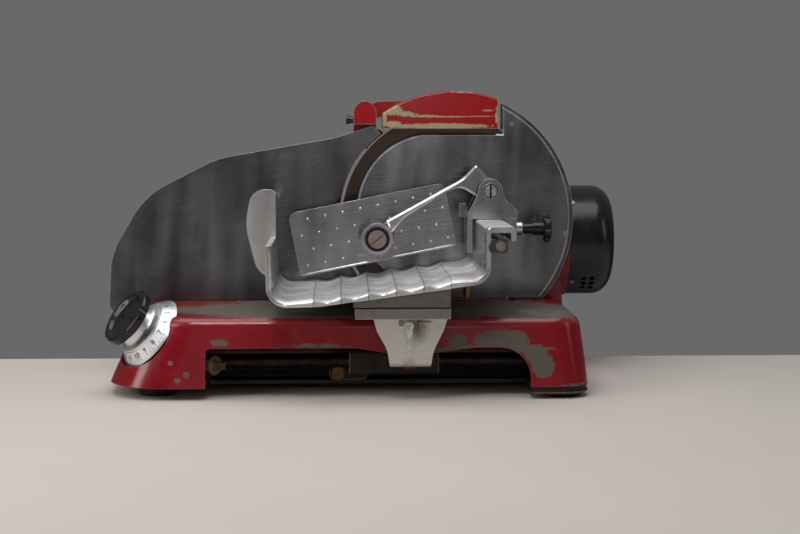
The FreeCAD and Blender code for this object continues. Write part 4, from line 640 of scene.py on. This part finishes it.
foot_wear = [
    (at(-285, -203, 70), (0.020, 0.03, 0.007), 0.60),
    (at(-344, -203, 46), (0.007, 0.03, 0.007), 0.62),
    (at(-325, -203, 32), (0.008, 0.03, 0.008), 0.62),
    (at(-335, -203, 25), (0.009, 0.03, 0.006), 0.60),
    (at(150, -190, 95), (0.024, 0.04, 0.018), 0.46),
    (at(150, -200, 17), (0.050, 0.05, 0.005), 0.50),
]
# The base: primer shows as flat grey islands with a torn border in the shiny red.
enamel_base = red_enamel("worn_enamel_base", deck_wear + arch_wear + foot_wear)
print("worn places on the base:", len(deck_wear + arch_wear + foot_wear))

# %% Wear on the hood and the gear column
hood_wear = [
    (at(-70, -12, 351), (0.020, 0.02, 0.012), 0.82),
    (at(-52, -12, 345), (0.032, 0.02, 0.0070), 0.66),
    (at(-30, -12, 342.5), (0.040, 0.02, 0.0030), 0.68),
    (at(6, -12, 341.8), (0.050, 0.02, 0.0018), 0.64),
    (at(46, -12, 342.5), (0.034, 0.02, 0.0012), 0.60),
    (at(-70, -12, 332), (0.020, 0.02, 0.0080), 0.70),
    (at(-81, -12, 340), (0.005, 0.02, 0.018), 0.85),
    (at(67, -12, 345), (0.005, 0.03, 0.024), 0.56),
    (at(56, -12, 350), (0.016, 0.02, 0.0020), 0.56),
    (at(-8, -12, 329.5), (0.120, 0.02, 0.0060), 0.72),
    (at(18, -10, 374), (0.040, 0.02, 0.004), 0.46),
]
case_wear = [(at(0, 60, 300), (0.05, 0.05, 0.03), 0.3)]
# The hood was sprayed later, over a sandy primer: a brighter red, pale where it is worn.
enamel_hood = red_enamel("worn_enamel_hood", hood_wear, 0.7, ("#B3AB8B", "#766E52"),
                         ("#820610", "#A00B16"), 0.30)
# The gear column is rarely touched, so its coat is nearly whole.
enamel_case = red_enamel("worn_enamel_case", case_wear)
print("worn places on the hood:", len(hood_wear))

# %% [markdown]
# ## Tones of the aluminium
# One recipe gives every polished piece, but no two pieces look alike: the big plates are
# ground across and have gone grey, the arm and the hub are handled and bright, and the
# dial's skirt is satin and silvered. The tones are the shiny and the dull one, followed
# by the roughness, the angle of the grinding marks in degrees, and how far it is stained.

# %% Polished pieces
# Ground on a belt and never polished: dark grey, with the light in broad soft bands.
plate_metal = polished_aluminium("ground_aluminium_plate", "#818185", "#505055",
                                 (0.20, 0.34), 8.0, 0.01)
# Polished once and scoured since: a cloudy mirror with a wide pale painted highlight on the rim.
cover_metal = polished_aluminium("polished_aluminium_cover", "#9C9CA0", "#68686C",
                                 (0.16, 0.28), 2.0, edge_mm=2.0)
# Handled at every slice: the brightest metal, with marks along the arm.
arm_metal = polished_aluminium("polished_aluminium_arm", "#E0E0E1", "#A3A2A1",
                               (0.12, 0.24), -30.0)
# The same casting metal, scoured less often and stained in its corners.
saddle_metal = polished_aluminium("polished_aluminium_saddle", "#C2C2C4", "#858585",
                                  (0.14, 0.28), 40.0, 0.02)
# Rolled sheet with its brushing left on: even, matt and light.
pusher_metal = polished_aluminium("brushed_aluminium_pusher", "#B2B2B5", "#8A8989",
                                  (0.18, 0.30), 11.0, 0.03)
# Silvered like a scale, so that the black numbers read: nearly white and without glare.
dial_metal = polished_aluminium("satin_silvered_dial", "#F0F0F0", "#D8D8D8",
                                (0.30, 0.42), 0.0, -0.1)
# Tray and hub take their own marks on top of a bright polish.
tray_metal = polished_tray("polished_aluminium_tray", "#EAEAEA", "#B9B8B6", (0.12, 0.24), 3.0)
hub_metal = polished_hub("polished_aluminium_hub", "#E6E6E7", "#C2C1BF", (0.11, 0.22), 20.0)
print("materials, with the frame's own:", len(bpy.data.materials))

# %% Castings
SLIDE_GAP_SHADE = 115.4 * MM
LEVER_SHADOW = (at(-47, -226, 92), (0.017, 0.02, 0.024))
# As cast: a pebbled grey skin. Milled: smoother and darker with oil, with painted gap shade on top.
# Under the machine: painted nearly black as shade. Rubbed: pale and smoother, with a painted lever
# shadow.
casting = cast_aluminium("sand_cast_aluminium")
plate_casting = cast_aluminium("milled_aluminium_slide", "#807D77", "#4C463C", 0.36, SLIDE_GAP_SHADE)
dark_casting = cast_aluminium("shade_darkened_cast_aluminium", "#3A3530", "#1C1712", 0.55)
arm_casting = cast_aluminium("rubbed_aluminium_bracket", "#CCC9C2", "#7D6F55", 0.28,
                             lever_shadow=LEVER_SHADOW)
# Zinc on sheet steel shows large dull crystals.
sheet_metal = grained("galvanised_sheet", "#8D8D8A", "#6E6D69", 3.0, 0.44, 0.9, 0.05)
print("with the castings:", len(bpy.data.materials))

# %% [markdown]
# ## Tones of the steel and the rest
# Steel that is touched stays bright, oiled steel is dark and stands in as painted shade in the
# slide under the machine, and steel near the table rusts. The peg, the rod and the bolts are each two
# metals, so each gets a point and a normal for the plane where they meet.

# %% Steels
PIVOT_CENTRE = at(51, 0, 248)
# From bright to dark: polished and dry, plain turned, oiled and darkened as painted shade, and rusted.
knife = knife_steel("ground_knife_steel")
turned = turned_steel("turned_steel")
polished_steel = turned_steel("polished_steel_lever", "#F0EFEC", "#7C7A78", 0.16, -0.2)
pivot_steel = turned_steel("polished_steel_pivot", "#E2E1DE", "#B4B2AD", 0.20, -0.05, PIVOT_CENTRE)
bright_steel = turned_steel("polished_steel_edge", "#E6E5E2", "#BDBBB6", 0.20, -0.1)
oily_and_shaded = turned_steel("oily_and_shade_darkened_steel", "#37322E", "#1A1715", 0.36, 0.06)
rusty = turned_steel("rusted_steel_screw", "#8C7A6C", "#4C3527", 0.42, 0.16)
# Stamped plates on edge, seen as a fine dark ribbing.
core = laminations("stamped_core_plates")
print("with the steels:", len(bpy.data.materials))

# %% Two metals in one solid
# A pale washer on a brass peg, a steel rod on a brass stud, and bolts that rust below.
clamp_bolt = two_metals("steel_washer_brass_peg", at(-291.36, -179.48, 40), (0.8, -0.6, 0),
                        beyond=("#A8925F", "#6B5632"), before=("#B9B2AA", "#6F655C"))
rod_and_stud = two_metals("steel_rod_brass_stud", at(0, 0, 160), (0, 0, -1),
                          beyond=("#B98B45", "#6E4F24"), before=("#BDB9B2", "#6E6860"))
bolts = two_metals("steel_and_rusted_bolts", at(0, 0, 44), (0, 0, 1),
                   beyond=("#A89D90", "#6A5A4C"), before=("#7A5238", "#2E1D13"))
print("with the pairs of metals:", len(bpy.data.materials))

# %% Black parts, rubber, bronze and grit
# Resin: black, with a sharp thin gloss. Enamelled steel: deeper black and a wavy gloss.
bakelite = black_gloss("pressed_phenolic_knob")
stoved = black_gloss("stoved_black_steel_cover", "#040405", "#141415", (0.20, 0.32), 26.0)
# Rubber has no shine, bronze is a warm metal, and grit scatters all light.
rubber = grained("moulded_nitrile_rubber", "#1B1A19", "#0F0F0F", 0.8, 0.72)
bronze = grained("cast_phosphor_bronze", "#A9783C", "#7C5629", 1.0, 0.34, 1.0, 0.08)
grit = grained("bonded_alumina_grit", "#8F887B", "#5F584C", 0.7, 0.88, 0.0, 0.3)
print("materials in all:", len(bpy.data.materials))

# %% [markdown]
# ## Which solid gets which finish
# The list reads like a parts list: a finish, and the solids that have it. The solids' own
# meshes and places stay as they are, and only their material slots change.

# %% Finishes of the frame's solids
finishes = {
    enamel_base: "base_casting",
    enamel_hood: "sharpener_cover sharpener_post",
    enamel_case: "gear_column gear_case_cover shaft_plug",
    plate_metal: "gauge_plate blade_guard",
    cover_metal: "blade_cover",
    dial_metal: "dial_skirt",
    tray_metal: "tray",
    arm_metal: "pusher_arm",
    saddle_metal: "saddle",
    hub_metal: "pusher_hub",
    pusher_metal: "pusher_plate slice_deflector",
    casting: "gauge_bracket motor_end_shield blade_hub fan",
    arm_casting: "support_arm",
    plate_casting: "lower_plate",
    dark_casting: "carriage_slide guide_track",
    knife: "blade",
    turned: "spindle rotor_shaft bearings cover_screws gauge_rod dial_shaft worm",
    oily_and_shaded: "slide_rod hinge_pin guide_roller stone_axles blade_screws gauge_screws",
    polished_steel: "clamp_lever",
    pivot_steel: "pivot_screw",
    rusty: "foot_screws",
    clamp_bolt: "rail_stud",
    bolts: "carriage_bolts",
    rod_and_stud: "pusher_rod",
    bakelite: "dial_knob lock_knob switch_knob latch_button switch_body",
    stoved: "motor_cover",
    rubber: "rubber_feet cable_gland",
    bronze: "worm_wheel dial_bush",
    core: "stator rotor_core",
    grit: "grinding_stone honing_stone",
    sheet_metal: "bottom_cover",
}
finished = set()
for material, names in finishes.items():
    for name in names.split():
        for held in nodes[name].material_slots:
            held.material = material
        finished.add(name)
print("finished", len(finished), "of", len(nodes), "left:", sorted(set(nodes) - finished))

# %% [markdown]
# ## Tools for the added pieces
# An added piece is modelled by hand, at the origin, with Blender's own operators. Its
# place is then put into its mesh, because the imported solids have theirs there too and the
# patterns read Object coordinates. What repeats is made once, copied and joined.

# %% Joining and colouring a piece
def joined(pieces, name):
    bpy.ops.object.select_all(action="DESELECT")
    for piece in pieces:
        piece.select_set(True)
    bpy.context.view_layer.objects.active = pieces[0]
    bpy.ops.object.join()
    bpy.context.object.name = name
    return bpy.context.object


def coat(piece, material):
    piece.data.materials.clear()
    piece.data.materials.append(material)


# %% [markdown]
# ## Numbers on the dial
# The slice thickness is read on the sloping band of the dial's skirt: engraved numbers
# filled with black, and ticks beside each. An image on the skirt would need an unwrapped
# surface and would blur, so every number is a text turned into a mesh, then laid on the
# slope with a matrix of three directions: along the band, up the slope, and out of it.

# %% A place on the dial's band
DIAL_CENTRE = at(-371, -150, 74)
DIAL_OUT = Vector((-0.70, -0.41, 0.585)).normalized()
DIAL_LEVEL = Vector((0, 0, 1)).cross(DIAL_OUT).normalized()
DIAL_STEEP = DIAL_OUT.cross(DIAL_LEVEL)
PROUD = 0.08 * MM


def on_band(degrees, radius, out):
    """Matrix that lays a mark on the slope: its X along the band and its Y towards the top."""
    turn = math.radians(degrees)
    ray = DIAL_LEVEL * math.cos(turn) + DIAL_STEEP * math.sin(turn)
    along = DIAL_STEEP * math.cos(turn) - DIAL_LEVEL * math.sin(turn)
    up = (DIAL_OUT - ray).normalized()
    face = along.cross(up)
    place = DIAL_CENTRE + ray * (radius * MM) + DIAL_OUT * (out * MM)
    turned_to = Matrix((along, up, face)).transposed().to_4x4()
    return Matrix.Translation(place + face * PROUD) @ turned_to


print("dial faces", round(math.degrees(math.asin(DIAL_OUT.z)), 1), "degrees up")

# %% Numbers and ticks
NUMBERS = 16
FIRST_AT = 150
NUMBER_STEP = 21.0
NUMBER_SIZE = 9.2 * MM
NUMBER_PLACE = (40.2, 10.8)
TICKS_EACH = 3
TICK_WIDTH = 0.8 * MM
TICK_DEPTH = 0.08 * MM
TICK_FOOT = (44.8, 6.2)
LONG_TICK = 2.6
SHORT_TICK = 1.5


def dial_number(value, degrees):
    bpy.ops.object.select_all(action="DESELECT")
    bpy.ops.object.text_add(location=(0, 0, 0))
    text = bpy.context.object.data
    text.body = str(value)
    text.align_x = "CENTER"
    text.align_y = "CENTER"
    text.size = NUMBER_SIZE
    text.extrude = 0.04 * MM
    text.offset = 0.16 * MM
    text.resolution_u = 3
    bpy.ops.object.convert(target="MESH")
    bpy.context.object.data.transform(on_band(degrees, *NUMBER_PLACE))
    return bpy.context.object


def dial_tick(degrees, length):
    """A thin bar; a long one reaches further up the slope than a short one."""
    bpy.ops.object.select_all(action="DESELECT")
    bpy.ops.mesh.primitive_cube_add(size=1.0)
    tick = bpy.context.object
    tick.data.transform(Matrix.Diagonal((TICK_WIDTH, length * MM, TICK_DEPTH, 1.0)))
    rise = length * 0.35
    tick.data.transform(on_band(degrees, TICK_FOOT[0] - rise, TICK_FOOT[1] + rise))
    return tick


marks = []
for value in range(NUMBERS):
    degrees = FIRST_AT - NUMBER_STEP * value
    marks.append(dial_number(value, degrees))
    for step in range(TICKS_EACH):
        length = SHORT_TICK if step else LONG_TICK
        marks.append(dial_tick(degrees - step * NUMBER_STEP / TICKS_EACH, length))
numbers = joined(marks, "dial_numbers")
# Paint in an engraving is matt and not quite black.
coat(numbers, grained("black_filled_engraving", "#161616", "#262524", 0.6, 0.55, 0.0, 0.02))
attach(numbers, "dial")
print("dial marks:", len(numbers.data.polygons), "faces")

# %% [markdown]
# ## Rivets of the pusher's spikes
# Every spike behind the pusher plate is set in a hole and riveted over, so the front
# shows a small low dome for each. One dome is a sphere cut in half with bisect and
# flattened. The others are copies of it, each with its own mesh, on a staggered grid
# that leaves out the place of the hub.

# %% Rivets
PLATE_TILT = math.radians(11.2)
PLATE_CENTRE = (-92, 187)
RIVET_FACE = -23.05
RIVET_RADIUS = 1.7 * MM
RIVET_HEIGHT = 0.9 * MM
ROWS = 4
COLUMNS = 9
FIRST_ROW = -21.5
FIRST_COLUMN = -95.5
ROW_STEP = 20
COLUMN_STEP = 23.5
STAGGER = 11.7
HUB_CLEARANCE = 27

bpy.ops.object.select_all(action="DESELECT")
bpy.ops.mesh.primitive_uv_sphere_add(segments=12, ring_count=8, radius=1.0)
dome = bpy.context.object
bpy.ops.object.mode_set(mode="EDIT")
bpy.ops.mesh.select_all(action="SELECT")
bpy.ops.mesh.bisect(plane_co=(0, 0, 0), plane_no=(0, 0, 1), clear_inner=True, use_fill=True)
bpy.ops.object.mode_set(mode="OBJECT")
dome.data.transform(Matrix.Diagonal((RIVET_RADIUS, RIVET_RADIUS, RIVET_HEIGHT, 1.0)))
dome.data.transform(Matrix.Rotation(math.radians(90), 4, "X"))

rivets = []
for row in range(ROWS):
    shifted = row % 2
    for column in range(COLUMNS - shifted):
        across = FIRST_COLUMN + COLUMN_STEP * column + STAGGER * shifted
        height = FIRST_ROW + ROW_STEP * row
        if math.hypot(across, height) < HUB_CLEARANCE:
            continue
        x = across * math.cos(PLATE_TILT) - height * math.sin(PLATE_TILT)
        z = across * math.sin(PLATE_TILT) + height * math.cos(PLATE_TILT)
        rivet = bpy.data.objects.new("rivet", dome.data.copy())
        bpy.context.scene.collection.objects.link(rivet)
        place = at(PLATE_CENTRE[0] + x, RIVET_FACE, PLATE_CENTRE[1] + z)
        rivet.data.transform(Matrix.Translation(place))
        rivets.append(rivet)
bpy.data.objects.remove(dome)
count = len(rivets)
riveted = joined(rivets, "spike_rivets")
bpy.ops.object.shade_smooth_by_angle(angle=math.radians(40))
coat(riveted, bright_steel)
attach(riveted, "pusher")
print("rivets:", count)

# %% [markdown]
# ## Rolled edge of the pusher plate
# The plate's lower edge is rolled over so that it slides on the tray without a burr. It
# catches the light as one bright line. A profile swept along the edge would do, but the
# edge is straight, so a thin half-buried rod with rounded ends is enough. Its two end
# faces are the only ones with more than four sides, which is how they are picked.

# %% Rolled edge
EDGE_LENGTH = 196 * MM
EDGE_RADIUS = 1.3 * MM
EDGE_DROP = 32.2 * MM
EDGE_SHIFT = 3.5 * MM
EDGE_CENTRE = at(PLATE_CENTRE[0], -23.2, PLATE_CENTRE[1])
bpy.ops.object.select_all(action="DESELECT")
bpy.ops.mesh.primitive_cylinder_add(vertices=24, radius=EDGE_RADIUS, depth=EDGE_LENGTH)
bead = bpy.context.object
bead.name = "rolled_plate_edge"
bpy.ops.object.mode_set(mode="EDIT")
bpy.ops.mesh.select_mode(type="FACE")
bpy.ops.mesh.select_all(action="DESELECT")
bpy.ops.mesh.select_face_by_sides(number=4, type="GREATER")
bpy.ops.mesh.region_to_loop()
bpy.ops.mesh.bevel(offset=0.9 * MM, segments=3)
bpy.ops.object.mode_set(mode="OBJECT")
lying = Matrix.Rotation(math.radians(90), 4, "Y")
below_centre = Matrix.Translation((-EDGE_SHIFT, 0, -EDGE_DROP))
bead.data.transform(Matrix.Rotation(-PLATE_TILT, 4, "Y") @ below_centre @ lying)
bead.data.transform(Matrix.Translation(EDGE_CENTRE))
bpy.ops.object.shade_smooth_by_angle(angle=math.radians(40))
coat(bead, bright_steel)
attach(bead, "pusher")
print("rolled edge:", [round(c / MM, 1) for c in bead.dimensions])

# %% [markdown]
# ## Brass nut under the tray
# A long six-sided nut holds the tray from below, with the end of its stud showing. A
# cylinder with six sides gives the nut. A bevel takes its sharp corners off, and its
# lowest face is inset and pulled down for the stud.

# %% Brass nut and stud end
NUT_RADIUS = 5.0 * MM
NUT_LENGTH = 14 * MM
STUD_END = 3.0 * MM
NUT_CENTRE = at(20, -110, 123.0)
bpy.ops.object.select_all(action="DESELECT")
bpy.ops.mesh.primitive_cylinder_add(vertices=6, radius=NUT_RADIUS, depth=NUT_LENGTH)
stud = bpy.context.object
stud.name = "tray_stud_nut"
bpy.ops.object.mode_set(mode="EDIT")
bpy.ops.mesh.select_all(action="SELECT")
bpy.ops.mesh.bevel(offset=0.5 * MM, segments=1)
bpy.ops.mesh.select_mode(type="FACE")
bpy.ops.mesh.select_all(action="DESELECT")
bpy.ops.object.mode_set(mode="OBJECT")
lowest = min(stud.data.polygons, key=lambda face: face.center.z)
lowest.select = True
bpy.ops.object.mode_set(mode="EDIT")
bpy.ops.mesh.inset(thickness=1.3 * MM)
bpy.ops.mesh.extrude_region_move(TRANSFORM_OT_translate={"value": (0, 0, -STUD_END)})
bpy.ops.object.mode_set(mode="OBJECT")
stud.data.transform(Matrix.Translation(NUT_CENTRE))
coat(stud, rod_and_stud)
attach(stud, "tray")
print("tray nut:", len(stud.data.polygons), "faces,", round(stud.dimensions.z / MM, 1), "mm long")

# %% [markdown]
# ## The table
# The machine stands on a plain pale table, whose rear edge lies just behind it. The table
# is staging and not part of the machine, so it rides nothing. Its colour alone makes it
# pale, with a mottle of 30 cm so faint that it only keeps the surface from looking flat.

# %% Table
TABLE_WIDTH = 14.0
TABLE_DEPTH = 10.0
TABLE_REAR = 0.19
bpy.ops.object.select_all(action="DESELECT")
bpy.ops.mesh.primitive_plane_add(size=1.0)
floor = bpy.context.object
floor.name = "studio_table"
floor.data.transform(Matrix.Diagonal((TABLE_WIDTH, TABLE_DEPTH, 1.0, 1.0)))
floor.data.transform(Matrix.Translation((0, TABLE_REAR - TABLE_DEPTH / 2, 0)))
pale, add, place = new_finish("plain_pale_floor")
mottle = {0: blotches(add, place, 300.0, 3.0), 6: linear("#C0B8B1"), 7: linear("#C8C0B9")}
finished_with(pale, {
    "Base Color": add("Mix", mottle, out=2, data_type="RGBA"),
    "Roughness": 0.85,
})
coat(floor, pale)
print("table:", TABLE_WIDTH, "by", TABLE_DEPTH, "m, rear edge at", TABLE_REAR)

# %% [markdown]
# ## Soft light
# Polished metal shows whatever is around it, so the light is planned for the metal first:
# one broad soft panel above, one high on the left, a weak one on the right, and narrow
# strips that put a bright line on an edge. A panel's size sets how soft its shadow is, so
# small sharp lamps would not do. The camera doesn't see the panels.

# %% Lights
def panel(name, place, toward, size, power):
    data = bpy.data.lights.new(name, "AREA")
    data.shape = "RECTANGLE"
    data.size, data.size_y = size
    data.energy = power
    lamp = bpy.data.objects.new(name, data)
    bpy.context.scene.collection.objects.link(lamp)
    aim = (Vector(toward) - Vector(place)).to_track_quat("-Z", "Y").to_matrix().to_4x4()
    lamp.matrix_world = Matrix.Translation(place) @ aim
    lamp.visible_camera = False
    return lamp


panels = [
    panel("top_panel", (-0.1, -0.25, 1.6), (0, -0.05, 0.1), (1.7, 1.1), 14),
    panel("left_panel", (-1.7, -1.2, 1.3), (0, 0, 0.15), (0.9, 1.2), 10),
    panel("left_low", (-1.5, -0.55, 0.5), (0, 0, 0.12), (0.35, 0.8), 4.5),
    panel("edge_bar", (-0.25, -0.98, 1.35), (-0.15, -0.2, 0.1), (0.55, 0.24), 6),
    panel("right_panel", (1.9, -1.0, 0.9), (0, 0, 0.15), (0.4, 1.2), 2.2),
    panel("cover_strip", (0.20, -2.7, 0.62), (0, 0, 0.3), (0.30, 0.60), 0.8),
    panel("plate_strip", (-0.42, -2.7, 0.35), (0, 0, 0.25), (0.30, 1.0), 0.22),
]
print("panels:", len(panels), "with", round(sum(lamp.data.energy for lamp in panels), 2), "W")

# %% [markdown]
# ## The room
# The room is dim at the floor and paler towards the ceiling, which leaves dark bands
# between the panels in the metal. The camera itself sees one plain grey instead.

# %% Room
room = bpy.data.worlds.new("soft_grey_room")
bpy.context.scene.world = room
room.use_nodes = True
add = node_adder(room.node_tree)
up = add("SeparateXYZ", (add("TexCoord", out="Generated"),), out=2)
shades = {0: add("MapRange", (up, -0.1, 0.9)), 6: linear("#3E3E40"), 7: linear("#8C8C8E")}
seen = {0: add("LightPath", out="Is Camera Ray"), 6: add("Mix", shades, out=2, data_type="RGBA"),
        7: linear("#6A696A")}
background = room.node_tree.nodes["Background"]
grey = add("Mix", seen, out=2, data_type="RGBA")
connect(room.node_tree, background, {"Color": grey, "Strength": 1.0})
print("room nodes:", len(room.node_tree.nodes))

# %% [markdown]
# ## The camera
# The camera stands a good two metres in front of the knife, a little left of its axis and
# as high as the hood, so it looks slightly down. A long lens from that far keeps the
# verticals nearly straight, while a short one from near by would bend the machine's size.

# %% Camera
eye = bpy.data.cameras.new("camera")
eye.lens = 73.35
eye.sensor_width = 36.0
eye.clip_end = 40
camera = bpy.data.objects.new("camera", eye)
bpy.context.scene.collection.objects.link(camera)
camera.location = at(-137.3, -2153.2, 337.4)
camera.rotation_euler = (math.radians(90 - 5.15), 0, math.radians(-2.06))
bpy.context.scene.camera = camera
bpy.context.scene.view_settings.view_transform = "Standard"
print("camera at", [round(c, 3) for c in camera.location])
